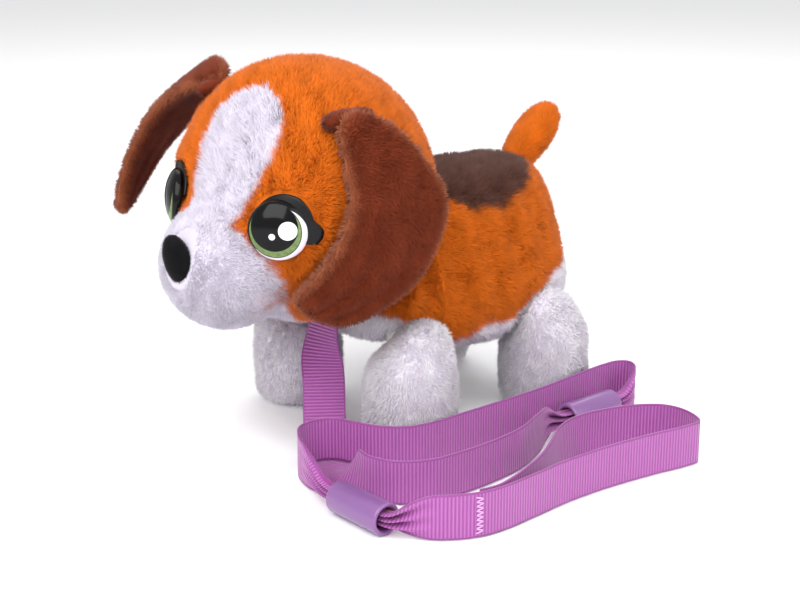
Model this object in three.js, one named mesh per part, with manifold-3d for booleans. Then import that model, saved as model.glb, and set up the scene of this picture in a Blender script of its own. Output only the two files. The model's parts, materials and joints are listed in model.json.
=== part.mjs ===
// A walking plush puppy on a ribbon leash, in millimetres.
// +Z is up, the puppy faces -Y and its left side is +X. The origin is on the floor, under the
// middle of the puppy's own box, ears included; the leash lies on the same floor on its left.
import * as THREE from 'three';
import { mergeVertices } from 'three/addons/utils/BufferGeometryUtils.js';
import Module from 'manifold-3d';

const wasm = await Module();
wasm.setup();

// ---- driving dimensions ----
const SHIFT = { x: 18, y: 29.8 }; // from the middle of the four feet to the middle of the box
const GAP = 0.3;               // left between pieces that touch
const DEGREE = Math.PI / 180;
const HIP = { y: 40, z: 50 };  // hip pivots, ahead of and behind the middle of the feet
const FOOT = { x: 43, y: 44.5 }; // middle of each foot, out from the middle of all four
const LEVER = { in: 29, out: 33, pinZ: 62 };
const ROD = { in: 33.5, out: 36 };
const CRANK = { y: 0, z: 62, throw: 2.5 };
const MODULE = 0.6;            // gear module
const TEETH = { crank: 34, idlerSmall: 10, idlerBig: 30, motor: 10 };
const HEAD = { y: -72, z: 120, yaw: 5, roll: 3 };
const SKULL = { outer: 46, inner: 44 };
const PLUSH_HEAD = [60, 59, 59.5];
const MUZZLE = { centre: [0, -48, -28], size: [29, 27, 27] };
const HEAD_CLEAR = 63;         // sphere kept free for the head as it turns and nods
const TAIL = { y: 54, z: 106, wag: 20 };
const RIBBON = { width: 20, thick: 0.9 };
const SLEEVE = { outer: 7.2, inner: 5.2, length: 32 };

// ---- finishes ----
const finish = (color, roughness, metalness = 0) =>
  new THREE.MeshStandardMaterial({ color, roughness, metalness });
const FINISH = {
  orange: finish(0xcf6a1c, 0.95),
  white: finish(0xdcd8e4, 0.95),
  chestnut: finish(0x7a3422, 0.95),
  darkBrown: finish(0x4b2c24, 0.95),
  noseBlack: finish(0x111114, 0.9),
  violet: finish(0xa14f9f, 0.6),
  lilac: finish(0x9d6cab, 0.35),
  housing: finish(0xe6e2da, 0.5),
  nylon: finish(0xf2f0ea, 0.45),
  steel: finish(0xb9bcc0, 0.3, 1),
  cell: finish(0x3b6ea8, 0.35, 0.6),
  board: finish(0x1f6a3c, 0.5),
  cone: finish(0x26262a, 0.7),
  eye: finish(0x14161a, 0.08),
};

// ---- solids, joins and cuts ----
function solid(geometry) {
  const plain = geometry.clone();
  plain.deleteAttribute('normal');
  plain.deleteAttribute('uv');
  const merged = mergeVertices(plain, 1e-4);
  return new wasm.Manifold(new wasm.Mesh({
    numProp: 3,
    vertProperties: Float32Array.from(merged.attributes.position.array),
    triVerts: Uint32Array.from(merged.index.array),
  }));
}

function toGeometry(body) {
  const mesh = body.getMesh();
  const geometry = new THREE.BufferGeometry();
  geometry.setAttribute('position', new THREE.BufferAttribute(mesh.vertProperties, 3));
  geometry.setIndex(new THREE.BufferAttribute(mesh.triVerts, 1));
  geometry.computeVertexNormals();
  return geometry;
}

const join = (first, ...rest) => rest.reduce((sum, part) => sum.add(part), first);
const cut = (first, ...rest) => rest.reduce((left, part) => left.subtract(part), first);

// Each vertex of a geometry is carried to a new place by a function of the old one.
function shaped(geometry, place) {
  const spots = geometry.attributes.position;
  const at = new THREE.Vector3();
  for (let i = 0; i < spots.count; i += 1) {
    at.fromBufferAttribute(spots, i);
    place(at);
    spots.setXYZ(i, at.x, at.y, at.z);
  }
  return geometry;
}

function box(x, y, z) {
  const geometry = new THREE.BoxGeometry(x[1] - x[0], y[1] - y[0], z[1] - z[0]);
  geometry.translate((x[0] + x[1]) / 2, (y[0] + y[1]) / 2, (z[0] + z[1]) / 2);
  return solid(geometry);
}

// A round bar along X, Y or Z, from one station to the next.
function bar(axis, radius, from, to, across, sides = 16) {
  const geometry = new THREE.CylinderGeometry(radius, radius, to - from, sides);
  const middle = (from + to) / 2;
  if (axis === 'x') geometry.rotateZ(-Math.PI / 2).translate(middle, across[0], across[1]);
  if (axis === 'y') geometry.translate(across[0], middle, across[1]);
  if (axis === 'z') geometry.rotateX(Math.PI / 2).translate(across[0], across[1], middle);
  return solid(geometry);
}

// A round bar between two points.
function strut(radius, from, to, sides = 14) {
  const start = new THREE.Vector3(...from);
  const along = new THREE.Vector3(...to).sub(start);
  const geometry = new THREE.CylinderGeometry(radius, radius, along.length(), sides);
  geometry.applyQuaternion(new THREE.Quaternion().setFromUnitVectors(
    new THREE.Vector3(0, 1, 0), along.clone().normalize()));
  geometry.translate(start.x + along.x / 2, start.y + along.y / 2, start.z + along.z / 2);
  return solid(geometry);
}

function ball(size, centre, across = 24, down = 14) {
  const geometry = new THREE.SphereGeometry(1, across, down);
  geometry.rotateX(Math.PI / 2).scale(...size).translate(...centre);
  return solid(geometry);
}

// An outline in the Y-Z plane, carried along X.
function slab(outline, from, to) {
  const shape = new THREE.Shape(outline.map(([y, z]) => new THREE.Vector2(y, z)));
  const geometry = new THREE.ExtrudeGeometry(shape, { depth: to - from, bevelEnabled: false });
  shaped(geometry, (p) => p.set(p.z + from, p.x, p.y));
  return solid(geometry);
}

// A stack of rounded rings: each row is height, half width, front and back.
function stack(rows, power, sides = 40) {
  const low = rows[0][0];
  const high = rows[rows.length - 1][0];
  const geometry = new THREE.CylinderGeometry(1, 1, rows.length - 1, sides, rows.length - 1);
  shaped(geometry, (p) => {
    const row = rows[Math.round(p.y + (rows.length - 1) / 2)];
    const reach = Math.hypot(p.x, p.z);
    const round = (value) => Math.sign(value) * Math.abs(value) ** (2 / power) * reach;
    const turn = Math.atan2(p.z, p.x);
    const y = (row[2] + row[3]) / 2 - round(Math.sin(turn)) * (row[3] - row[2]) / 2;
    p.set(round(Math.cos(turn)) * row[1], y, Math.min(high, Math.max(low, row[0])));
  });
  return solid(geometry);
}

// ---- the tree of groups ----
const puppy = new THREE.Group();
const stand = new THREE.Group();
stand.position.set(SHIFT.x, SHIFT.y, 0);
puppy.add(stand);
const head = new THREE.Group();
head.position.set(0, HEAD.y, HEAD.z);
head.rotation.order = 'ZYX';
head.rotation.set(0, THREE.MathUtils.degToRad(HEAD.roll), THREE.MathUtils.degToRad(HEAD.yaw));
stand.add(head);

function piece(name, body, material, group = stand) {
  const mesh = new THREE.Mesh(toGeometry(body), material);
  mesh.name = name;
  group.add(mesh);
}

const SIDES = [['left', 1], ['right', -1]];
const ENDS = [['front', -1], ['rear', 1]];
const mirrored = (body, side) => (side > 0 ? body : body.mirror([1, 0, 0]));

// ---- hard torso: two half shells, split down the middle plane, well inside the trunk's skin ----
// Rows up the trunk: height, half width, front and back.
const TRUNK_ROWS = [
  [46, 47, -55, 77], [50, 49.5, -57.5, 80], [62, 49.5, -57.5, 81.5], [74, 46.5, -56, 80],
  [86, 43, -53, 77.5], [98, 38.5, -49, 75], [108, 33, -45, 71.5], [116, 24, -40, 66], [120, 13, -34, 56],
];
const trunkShape = (less) => stack(
  TRUNK_ROWS.map(([z, half, front, back]) => [z - less, half - less, front + less, back - less]), 2.7, 36);
const TORSO = [[-46, 50.2], [-46, 57], [-42, 62.5], [-20, 79], [-8, 102], [62, 102], [67, 97], [67, 50.2]];
const TORSO_INSIDE = [[-44, 48], [-44, 56.4], [-40.8, 60.8], [-18.4, 77.6], [-6.6, 100], [61, 100],
  [65, 96], [65, 48]];
const NECK_OPENING = 23.6;     // clears the post with the head turned 12 and nodded 10 degrees
const NECK_POST = { from: [0, -22, 66], to: [0, -67, 94.5], radius: 6 };

function torsoHalf(side) {
  let half = cut(
    slab(TORSO, GAP / 2, 28).intersect(trunkShape(7)),
    slab(TORSO_INSIDE, -1, 26).intersect(trunkShape(9)),
  );
  for (const [, end] of ENDS) {
    const boss = bar('x', 5, 21.2, 27, [end * HIP.y, HIP.z]);
    half = cut(join(half, boss), bar('x', 2.2, 18, 30, [end * HIP.y, HIP.z]));
  }
  const neckHole = strut(NECK_POST.radius + GAP, NECK_POST.from, NECK_POST.to, 24);
  const tailHole = bar('z', 1.9, 95, 105, [0, TAIL.y], 16);
  return mirrored(cut(half, bar('x', 1.8, 20, 30, [CRANK.y, CRANK.z]), neckHole, tailHole), side);
}
for (const [name, side] of SIDES) piece(`torso_shell_${name}`, torsoHalf(side), FINISH.housing);

// ---- gear train: a motor pinion, a stepped idler and the crank gear ----
const pitch = (teeth) => teeth * MODULE / 2;
const crankSpot = [CRANK.y, CRANK.z];
const idlerTurn = THREE.MathUtils.degToRad(56);
const motorTurn = THREE.MathUtils.degToRad(16);
const reachIdler = pitch(TEETH.crank) + pitch(TEETH.idlerSmall);
const reachMotor = pitch(TEETH.idlerBig) + pitch(TEETH.motor);
const idlerSpot = [
  crankSpot[0] + reachIdler * Math.cos(idlerTurn),
  crankSpot[1] + reachIdler * Math.sin(idlerTurn),
];
const motorSpot = [
  idlerSpot[0] + reachMotor * Math.cos(motorTurn),
  idlerSpot[1] + reachMotor * Math.sin(motorTurn),
];

// A spur gear across X with one tooth centred at the angle phase in the Y-Z plane.
function gear(teeth, phase, from, to, spot) {
  const outline = [];
  const tip = pitch(teeth) + 0.45;
  const root = pitch(teeth) - 0.75;
  for (let tooth = 0; tooth < teeth; tooth += 1) {
    const step = 2 * Math.PI / teeth;
    for (const [share, radius] of [[-0.36, root], [-0.12, tip], [0.12, tip], [0.36, root]]) {
      const turn = phase + (tooth + share) * step;
      outline.push([spot[0] + radius * Math.cos(turn), spot[1] + radius * Math.sin(turn)]);
    }
  }
  return slab(outline, from, to);
}
const halfTooth = (teeth) => Math.PI / teeth;
const crankShaft = join(
  gear(TEETH.crank, idlerTurn, 9, 12, crankSpot),
  bar('x', 1.5, -31.5, 31.5, crankSpot, 16),
);
const idler = join(
  gear(TEETH.idlerSmall, idlerTurn + Math.PI + halfTooth(TEETH.idlerSmall), 8, 12.6, idlerSpot),
  gear(TEETH.idlerBig, motorTurn, 5.2, 8, idlerSpot),
  bar('x', 1.5, 3, 16, idlerSpot, 16),
);
const pinion = join(
  gear(TEETH.motor, motorTurn + Math.PI + halfTooth(TEETH.motor), 4.9, 8.2, motorSpot),
  bar('x', 1, 3.2, 9, motorSpot, 12),
);
piece('crank_shaft', crankShaft, FINISH.nylon);
piece('idler_gear', idler, FINISH.nylon);
piece('motor_pinion', pinion, FINISH.steel);
piece('motor', join(bar('x', 10, -22, 2.4, motorSpot, 28), bar('x', 3, -24, -22, motorSpot)),
  FINISH.steel);

function gearPlate(from, to) {
  const plate = box([from, to], [-8, 36], [CRANK.z - 3, 86]);
  const holes = [[crankSpot, 1.75], [idlerSpot, 1.75], [motorSpot, 3.4]];
  const overCells = box([from - 1, to + 1], [12.4, 40], [50, 65]);
  return cut(plate, overCells, ...holes.map(([spot, radius]) => bar('x', radius, from - 1, to + 1, spot)));
}
piece('gearbox_plate_inner', gearPlate(2.8, 4.4), FINISH.housing);
piece('gearbox_plate_outer', gearPlate(13.2, 15), FINISH.housing);

for (const [name, side] of SIDES) {
  const wheel = join(
    bar('x', 7, 28.8, 32.4, crankSpot, 24),
    bar('x', 1.6, 32.4, 36, [CRANK.y, CRANK.z + side * CRANK.throw], 12),
  );
  piece(`crank_wheel_${name}`, mirrored(cut(wheel, bar('x', 1.6, 28, 31.8, crankSpot, 16)), side),
    FINISH.nylon);
}

// ---- legs: a lever and foot plate inside a plush boot ----
function lever(end) {
  const y = end * HIP.y;
  const arm = box([LEVER.in, LEVER.out], [y - 4, y + 4], [9, LEVER.pinZ]);
  const hub = bar('x', 6.5, LEVER.in, LEVER.out, [y, HIP.z]);
  const top = bar('x', 4, LEVER.in, LEVER.out, [y, LEVER.pinZ]);
  const foot = box([LEVER.in, 56], [y - 12, y + 12], [5, 9]);
  const pin = bar('x', 1.8, LEVER.out - 1, 37, [y, LEVER.pinZ], 12);
  return cut(join(arm, hub, top, foot, pin), bar('x', 2.3, 28, 34, [y, HIP.z]));
}

function boot(end) {
  const y = end * HIP.y;
  const ring = (z, radius) => [z, radius, -radius, radius];
  const rows = [ring(0, 17), ring(3, 19.5), ring(10, 21), ring(24, 21.5), ring(40, 21.5)];
  const stub = stack(rows, 2.3, 24).translate([FOOT.x, end * FOOT.y, 0]);
  const thigh = bar('x', 19, 39.5, 58, [y, HIP.z], 24);
  const inside = box([15, 28.6], [y - 40, y + 40], [34, 60]);
  const room = GAP + 0.1;
  const shin = box([LEVER.in - room, LEVER.out + room], [y - 4 - room, y + 4 + room], [8, 60]);
  const foot = box([LEVER.in - room, 56 + room], [y - 12 - room, y + 12 + room], [5 - room, 9 + room]);
  const hubRoom = bar('x', 12, 28, 37.8, [y, HIP.z], 18);
  return cut(join(stub, thigh), inside, shin, foot, hubRoom);
}

function hipScrew(end) {
  const y = end * HIP.y;
  return join(bar('x', 4, 33.4, 35.4, [y, HIP.z]), bar('x', 2, 21, 33.6, [y, HIP.z], 16));
}

for (const [endName, end] of ENDS) {
  for (const [sideName, side] of SIDES) {
    const place = `${endName}_${sideName}`;
    piece(`leg_lever_${place}`, mirrored(lever(end), side), FINISH.nylon);
    piece(`leg_plush_${place}`, mirrored(boot(end), side), FINISH.white);
    piece(`hip_screw_${place}`, mirrored(hipScrew(end), side), FINISH.steel);
  }
}

// Each side's rod ties the front lever to the rear one; the crank pin drives its middle window.
function rod() {
  const strip = box([ROD.in, ROD.out], [-HIP.y, HIP.y], [LEVER.pinZ - 3, LEVER.pinZ + 3]);
  const ends = ENDS.map(([, end]) => bar('x', 4, ROD.in, ROD.out, [end * HIP.y, LEVER.pinZ]));
  const frame = box([ROD.in, ROD.out], [-10, 10], [LEVER.pinZ - 8, LEVER.pinZ + 8]);
  const holes = ENDS.map(([, end]) => bar('x', 2.1, 32, 38, [end * HIP.y, LEVER.pinZ]));
  return cut(join(strip, ...ends, frame), ...holes, box([32, 38], [-7.2, 7.2], [CRANK.z - 5.2, CRANK.z + 5.2]));
}
for (const [name, side] of SIDES) piece(`link_rod_${name}`, mirrored(rod(), side), FINISH.nylon);

// ---- batteries, board, speaker and belly panel ----
const CELL = { radius: 5.2, length: 44.5, y: 37, z: 57.2 };
const TRAY = { x: 18.6, y: [13, 61], z: [50.2, 64.5] };
const SCREW_Y = 57.5;
piece('battery_box', cut(
  join(
    cut(
      box([-TRAY.x, TRAY.x], TRAY.y, TRAY.z),
      box([-TRAY.x + 1.6, TRAY.x - 1.6], [TRAY.y[0] + 1.4, TRAY.y[1] - 1.4], [49, 63]),
    ),
    box([-4, 4], [SCREW_Y - 2.5, TRAY.y[1]], [TRAY.z[0], TRAY.z[0] + 1.5]),
  ),
  bar('z', 1.5, 49, 52, [0, SCREW_Y], 12),
), FINISH.housing);
[-11.4, 0, 11.4].forEach((x, index) => {
  const can = bar('y', CELL.radius, CELL.y - CELL.length / 2 + 1, CELL.y + CELL.length / 2, [x, CELL.z]);
  const nub = bar('y', 1.8, CELL.y - CELL.length / 2, CELL.y, [x, CELL.z], 12);
  piece(`battery_${index + 1}`, join(can, nub), FINISH.cell);
});
piece('circuit_board', join(
  box([-20, 20], [40, 62], [70, 71.6]),
  box([-8, 6], [44, 54], [71.6, 74]),
  bar('z', 3, 71, 80, [14, 52]),
), FINISH.board);
piece('speaker', join(
  bar('z', 13, 51.5, 54, [0, -28], 28),
  bar('z', 8, 54, 57.6, [0, -28], 24),
), FINISH.cone);

const PANEL = { x: 20.5, y: [-14, 64], z: [46.6, 49.4] };
const DOOR = { x: 17.5, y: [12, 61] };
const SWITCH = { y: -4, stroke: 3 };
const panelCuts = [
  box([-DOOR.x - GAP, DOOR.x + GAP], [DOOR.y[0] - 1.6, DOOR.y[1] + GAP], [45, 51]),
  box([-5, 5], [SWITCH.y - 2.5, SWITCH.y + 2.5], [45, 51]),
];
piece('belly_panel', cut(box([-PANEL.x, PANEL.x], PANEL.y, PANEL.z), ...panelCuts), FINISH.housing);
piece('battery_door', cut(join(
  box([-DOOR.x, DOOR.x], [DOOR.y[0], DOOR.y[1]], [46.6, 48.8]),
  bar('x', 1.1, -12, 12, [DOOR.y[0], 47.7], 16),
), bar('z', 1.5, 45, 50, [0, SCREW_Y], 12)), FINISH.housing);
piece('door_screw', join(
  bar('z', 1.15, 46.1, 51.5, [0, SCREW_Y], 12),
  bar('z', 2.8, 45.6, 46.3, [0, SCREW_Y]),
), FINISH.steel);
piece('power_switch', join(
  box([-6, 3], [SWITCH.y - 3.6, SWITCH.y + 3.6], [49.8, 51.2]),
  box([-3.4, 0.4], [SWITCH.y - 2, SWITCH.y + 2], [45, 50]),
), FINISH.cone);

// ---- head: a neck post, a yoke that turns on it, and a skull that nods on the yoke ----
const inHead = (body) => {
  head.updateMatrix();
  return body.transform(head.matrix.elements);
};
const NECK_PIN = { radius: 2.5, from: -30, to: -13 };
piece('neck_post', join(
  strut(NECK_POST.radius, NECK_POST.from, NECK_POST.to, 24),
  strut(9, NECK_POST.from, [0, -24.2, 67.4], 24),
  inHead(bar('z', 6, NECK_PIN.from, -22, [0, 0], 20)),
  inHead(bar('z', NECK_PIN.radius, NECK_PIN.from, NECK_PIN.to, [0, 0], 20)),
), FINISH.housing);

const YOKE = { in: 11, out: 14, deep: 5, low: -21.6 };
const NOD_PIN = 2;
piece('head_yoke', cut(
  box([-YOKE.out, YOKE.out], [-YOKE.deep, YOKE.deep], [YOKE.low, 6]),
  box([-YOKE.in, YOKE.in], [-9, 9], [-17, 8]),
  bar('z', NECK_PIN.radius + 0.15, YOKE.low - 1, 0, [0, 0], 20),
  bar('x', NOD_PIN + 0.15, -20, 20, [0, 0], 20),
), FINISH.nylon, head);
piece('nod_pin', bar('x', NOD_PIN, -30, 30, [0, 0], 16), FINISH.steel, head);

// A solid of revolution whose profile runs along the outward line of an eye.
function turned(profile, sides = 28) {
  return solid(new THREE.LatheGeometry(profile.map(([r, h]) => new THREE.Vector2(r, h)), sides));
}
const EYE = { centre: [35.3, -47.8, -3], facing: [0.62, -0.78, 0.03], radius: 13.3 };
function onEye(body, side) {
  const out = new THREE.Vector3(side * EYE.facing[0], EYE.facing[1], EYE.facing[2]).normalize();
  const turn = new THREE.Quaternion().setFromUnitVectors(new THREE.Vector3(0, 1, 0), out);
  const spot = new THREE.Vector3(side * EYE.centre[0], EYE.centre[1], EYE.centre[2]);
  const place = new THREE.Matrix4().compose(spot, turn, new THREE.Vector3(1, 1, 1));
  return body.transform(place.elements);
}
const eyeBody = turned([[0, -16], [2.3, -16], [2.3, -2.5], [12.5, -2.5], [EYE.radius, -1.2], [13, 0.8],
  [10.9, 3.6], [6.8, 5.8], [0, 6.9]]);
const eyeRoom = turned([[0, -18], [2.7, -18], [2.7, -2.9], [13.8, -2.9], [13.8, 12], [0, 12]]);

const EARS = SIDES.map(([name, side]) => ({
  name, side, flare: side > 0 ? 0 : 34, twist: side > 0 ? 0 : 16,
}));
const EAR_ROOT = [41, -14, 42];
const EAR_PIN = { radius: 1, length: 23 };
// Each row down an ear: a point on its front edge, one on its rear edge, and its half thickness.
const EAR_ROWS = [
  [[42, -21, 44], [45, -7, 46], 3], [[47, -26, 38], [60, 2, 37], 4], [[53, -28, 27], [67, 13, 23], 4.2],
  [[58, -29, 12], [69, 22, 6], 4.4], [[57, -32, -2], [69, 18, -13], 4.4],
  [[53, -36, -13], [67, 8, -28], 4.3], [[47, -40, -23], [60, -5, -40], 4],
  [[40, -42, -32], [51, -20, -47], 3.6], [[38, -39, -38], [44, -33, -43], 2.4],
];

function earBlade(extra) {
  const last = EAR_ROWS.length - 1;
  const geometry = new THREE.CylinderGeometry(1, 1, last, 16, last);
  const fronts = EAR_ROWS.map(([front]) => new THREE.Vector3(...front));
  const rears = EAR_ROWS.map(([, rear]) => new THREE.Vector3(...rear));
  const middles = fronts.map((front, row) => front.clone().add(rears[row]).multiplyScalar(0.5));
  shaped(geometry, (p) => {
    const row = Math.round(last / 2 - p.y);
    const width = rears[row].clone().sub(fronts[row]);
    const along = middles[Math.min(last, row + 1)].clone().sub(middles[Math.max(0, row - 1)]);
    const through = new THREE.Vector3().crossVectors(along, width).normalize();
    const half = width.length() / 2 + extra;
    const thick = EAR_ROWS[row][2] + extra;
    const place = middles[row].clone().addScaledVector(width.normalize(), p.x * half);
    p.copy(place.addScaledVector(through, p.z * thick));
  });
  return solid(geometry);
}

// A blade twists about its root, and then the blade and its barrel flare out about the pin.
function placedEar(ear, extra) {
  const away = EAR_ROOT.map((value) => -value);
  const blade = earBlade(extra).translate(away).rotate([0, 0, -ear.twist]);
  const barrel = bar('y', 4 + extra, -9, 9, [0, 0], 16);
  return mirrored(join(blade, barrel).rotate([0, -ear.flare, 0]).translate(EAR_ROOT), ear.side);
}
const earPinRoom = (ear, radius, length) => mirrored(
  bar('y', radius, EAR_ROOT[1] - length / 2, EAR_ROOT[1] + length / 2, [EAR_ROOT[0], EAR_ROOT[2]], 12),
  ear.side,
);
for (const ear of EARS) {
  const hole = earPinRoom(ear, EAR_PIN.radius + 0.15, EAR_PIN.length);
  piece(`ear_${ear.name}`, cut(placedEar(ear, 0), hole), FINISH.chestnut, head);
  piece(`ear_pin_${ear.name}`, earPinRoom(ear, EAR_PIN.radius, EAR_PIN.length), FINISH.steel, head);
}

const skullShell = cut(
  ball([SKULL.outer, SKULL.outer, SKULL.outer], [0, 0, 0]),
  ball([SKULL.inner, SKULL.inner, SKULL.inner], [0, 0, 0]),
);
const neckOpening = strut(NECK_OPENING, [0, 6, -24], [0, 66, -66], 28);
const stems = SIDES.map(([, side]) => onEye(bar('y', 2.7, -22, 0, [0, 0], 16), side));
const bosses = SIDES.map(([, side]) => mirrored(bar('x', 4, 15, 45, [0, 0], 20), side));
const pinHole = bar('x', NOD_PIN + 0.05, -30.5, 30.5, [0, 0], 16);
const behind = box([-70, 70], [GAP / 2, 70], [-70, 70]);
const ahead = box([-70, 70], [-70, -GAP / 2], [-70, 70]);
const bossRoom = SIDES.map(([, side]) => mirrored(bar('x', 4.3, 14, 50, [0, 0], 20), side));
piece('skull_back', cut(join(skullShell.intersect(behind), ...bosses), neckOpening, pinHole),
  FINISH.housing, head);
piece('skull_front', cut(skullShell.intersect(ahead), neckOpening, ...stems, ...bossRoom),
  FINISH.housing, head);

const headRooms = [
  ball([SKULL.outer + 0.5, SKULL.outer + 0.5, SKULL.outer + 0.5], [0, 0, 0]),
  neckOpening,
  ...SIDES.map(([, side]) => onEye(eyeRoom, side)),
  ...EARS.map((ear) => placedEar(ear, GAP + 0.1)),
  ...EARS.map((ear) => earPinRoom(ear, EAR_PIN.radius + 0.1, EAR_PIN.length + 0.6)),
];
piece('head_plush', cut(ball(PLUSH_HEAD, [0, 0, 0], 32, 18), ...headRooms), FINISH.orange, head);
const grown = (size) => size.map((value) => value + GAP);
piece('muzzle_plush', cut(
  ball(MUZZLE.size, MUZZLE.centre),
  ball(grown(PLUSH_HEAD), [0, 0, 0], 32, 18),
  ...SIDES.map(([, side]) => onEye(eyeRoom, side)),
), FINISH.white, head);
const nose = ball([8, 5, 13], [0, 0, 0], 20, 12).rotate([15, 0, 0]).translate([0, -73.4, -20]);
piece('nose', cut(nose, ball(grown(MUZZLE.size), MUZZLE.centre)), FINISH.noseBlack, head);
for (const [name, side] of SIDES) piece(`eye_${name}`, onEye(eyeBody, side), FINISH.eye, head);

// ---- tail: a lever that wags on an upright pin, inside a plush paddle ----
piece('tail_pin', join(
  bar('z', 1.5, 97, 111, [0, TAIL.y], 14),
  bar('z', 3.6, 97, 99.6, [0, TAIL.y], 18),
), FINISH.steel);
const tailLever = join(
  bar('z', 4.6, 102.4, 109, [0, TAIL.y], 18),
  strut(2.4, [0, TAIL.y + 1, TAIL.z], [0, 80, 129]),
);
piece('tail_lever', cut(tailLever, bar('z', 1.65, 101, 112, [0, TAIL.y], 14)), FINISH.nylon);
// Rows up the tail: the middle's y and z, its half width and its half thickness.
const TAIL_ROWS = [[65, 114.5, 7.5, 5.5], [71, 120.5, 10, 7], [78, 127.5, 11, 7], [85, 134.5, 9, 6],
  [89, 138.5, 5, 3.6]];
function tailBody(extra, sides) {
  const last = TAIL_ROWS.length - 1;
  const geometry = new THREE.CylinderGeometry(1, 1, last, sides, last);
  shaped(geometry, (p) => {
    const [y, z, half, thin] = TAIL_ROWS[Math.round(p.y + last / 2)];
    const through = -p.z * (thin + extra) * Math.SQRT1_2;
    p.set(p.x * (half + extra), y + through, z - through);
  });
  return solid(geometry);
}
const leverRoom = strut(2.8, [0, TAIL.y + 1, TAIL.z], [0, 80.4, 129.4]);
piece('tail_plush', cut(tailBody(0, 20), leverRoom), FINISH.orange);
function wagged(body, degrees) {
  return body.translate([0, -TAIL.y, 0]).rotate([0, 0, degrees]).translate([0, TAIL.y, 0]);
}
const tailSweep = join(
  bar('z', 6, 101, 113, [0, TAIL.y], 18),
  ...[-1, -0.67, -0.33, 0, 0.33, 0.67, 1].map((share) => share * TAIL.wag).flatMap((turn) => [
    wagged(tailBody(1.8, 18), turn),
    wagged(strut(4.8, [0, TAIL.y, TAIL.z], [0, 80, 131], 8), turn),
  ]),
);

// ---- trunk plush: stuffing and skin round the torso, open for the legs, neck, tail and belly ----
const trunkOutside = trunkShape(0);
const legRooms = SIDES.flatMap(([, side]) => ENDS.map(([, end]) => join(
  mirrored(bar('x', 24, 28.4, 75, [end * HIP.y, HIP.z], 32), side),
  mirrored(bar('x', 6, 20.6, 30, [end * HIP.y, HIP.z], 16), side),
)));
const torsoRoom = slab([[-47, 49.9], [-47, 58], [-43, 64], [-20, 81], [-9, 103], [63, 103], [68, 98],
  [68, 49.9]], -29, 29).intersect(trunkShape(6));
const panelRoom = box([-PANEL.x - 0.5, PANEL.x + 0.5], [PANEL.y[0] - 0.5, PANEL.y[1] + 0.5], [40, 51]);
const linkRoom = box([-38.6, 38.6], [-42, 42], [50, 72]);
const headRoom = ball([HEAD_CLEAR, HEAD_CLEAR, HEAD_CLEAR], [0, HEAD.y, HEAD.z], 30, 18);
const postRoom = strut(12, NECK_POST.from, NECK_POST.to, 24);

// The collar is a flat band round the neck, square to a line that leans back and down.
const COLLAR = { lean: 36.9, out: 43.5, radius: 44, width: 9.2, thick: 1.4 };
function band(inside, outside, low, high) {
  const profile = [[inside, low], [outside, low], [outside, high], [inside, high], [inside, low]];
  const ring = turned(profile, 40);
  return ring.rotate([-COLLAR.lean, 0, 0]).translate([0, HEAD.y, HEAD.z]);
}
const collarTop = COLLAR.out + COLLAR.width;
piece('collar', band(COLLAR.radius - COLLAR.thick, COLLAR.radius, COLLAR.out, collarTop), FINISH.violet);
const collarRoom = band(COLLAR.radius - 3, COLLAR.radius + 6, COLLAR.out - 4, collarTop + 0.5);

const trunk = cut(trunkOutside, ...legRooms, torsoRoom, panelRoom, linkRoom, tailSweep, headRoom, postRoom,
  collarRoom);
const SADDLE_DEPTH = 4;
function saddleZone(extra) {
  const sheet = new THREE.CylinderGeometry(1, 1, 40, 30);
  sheet.rotateX(Math.PI / 2).scale(40 + extra, 45 + extra, 1).translate(0, 16, 118);
  return solid(sheet);
}
const lowered = (drop) => trunkOutside.translate([0, 0, -drop]);
piece('saddle_plush', cut(trunk.intersect(saddleZone(0)), lowered(SADDLE_DEPTH)), FINISH.darkBrown);
const saddleRoom = cut(saddleZone(GAP), lowered(SADDLE_DEPTH + GAP));
piece('trunk_plush', cut(trunk, saddleRoom), FINISH.orange);

// ---- leash: a flat ribbon on edge along the floor, gathered where it runs through two sleeves ----
// Each row: x, y, z of the ribbon's middle, its tilt (0 flat, 90 on edge), half width, half
// thickness and, where the ribbon isn't square to its run, the heading of its width in degrees.
const WIDE = RIBBON.width / 2;
const THIN = RIBBON.thick / 2;
const THROAT_RUN = [
  [0, -61.5, 54, 0, WIDE, THIN, 0], [3, -65.5, 41, 0, WIDE, THIN, 20], [10, -70, 29, 0, WIDE, THIN],
  [16.5, -75, 17, 0, WIDE, THIN], [23.5, -80, 7, 0, WIDE, THIN], [32, -85, 2, 0, WIDE, THIN],
  [41, -87.5, 1.2, 0, WIDE, THIN], [48, -91.5, 1.4, 2, WIDE, THIN], [55, -95.5, 4.2, 18, WIDE, THIN],
  [62, -98.5, 8.2, 48, WIDE, THIN], [70, -100.5, 10.3, 74, WIDE, THIN], [81, -100, 10.6, 90, WIDE, THIN],
  [92, -95, 10.6, 90, WIDE, THIN], [99.5, -84, 10.6, 90, WIDE, THIN], [102, -68, 10.6, 90, WIDE, THIN],
  [102, -48, 10.6, 90, WIDE, THIN], [99, -27, 10.6, 90, WIDE, THIN], [91.5, -8, 10.6, 90, WIDE, THIN],
  [84, 6, 9.5, 90, 8, 1], [81.3, 15, 7.6, 90, 4.2, 2.8], [81.2, 21, 7.4, 90, 3.4, 3.4],
  [81.6, 38, 7.4, 90, 3.4, 3.4],
];
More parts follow.
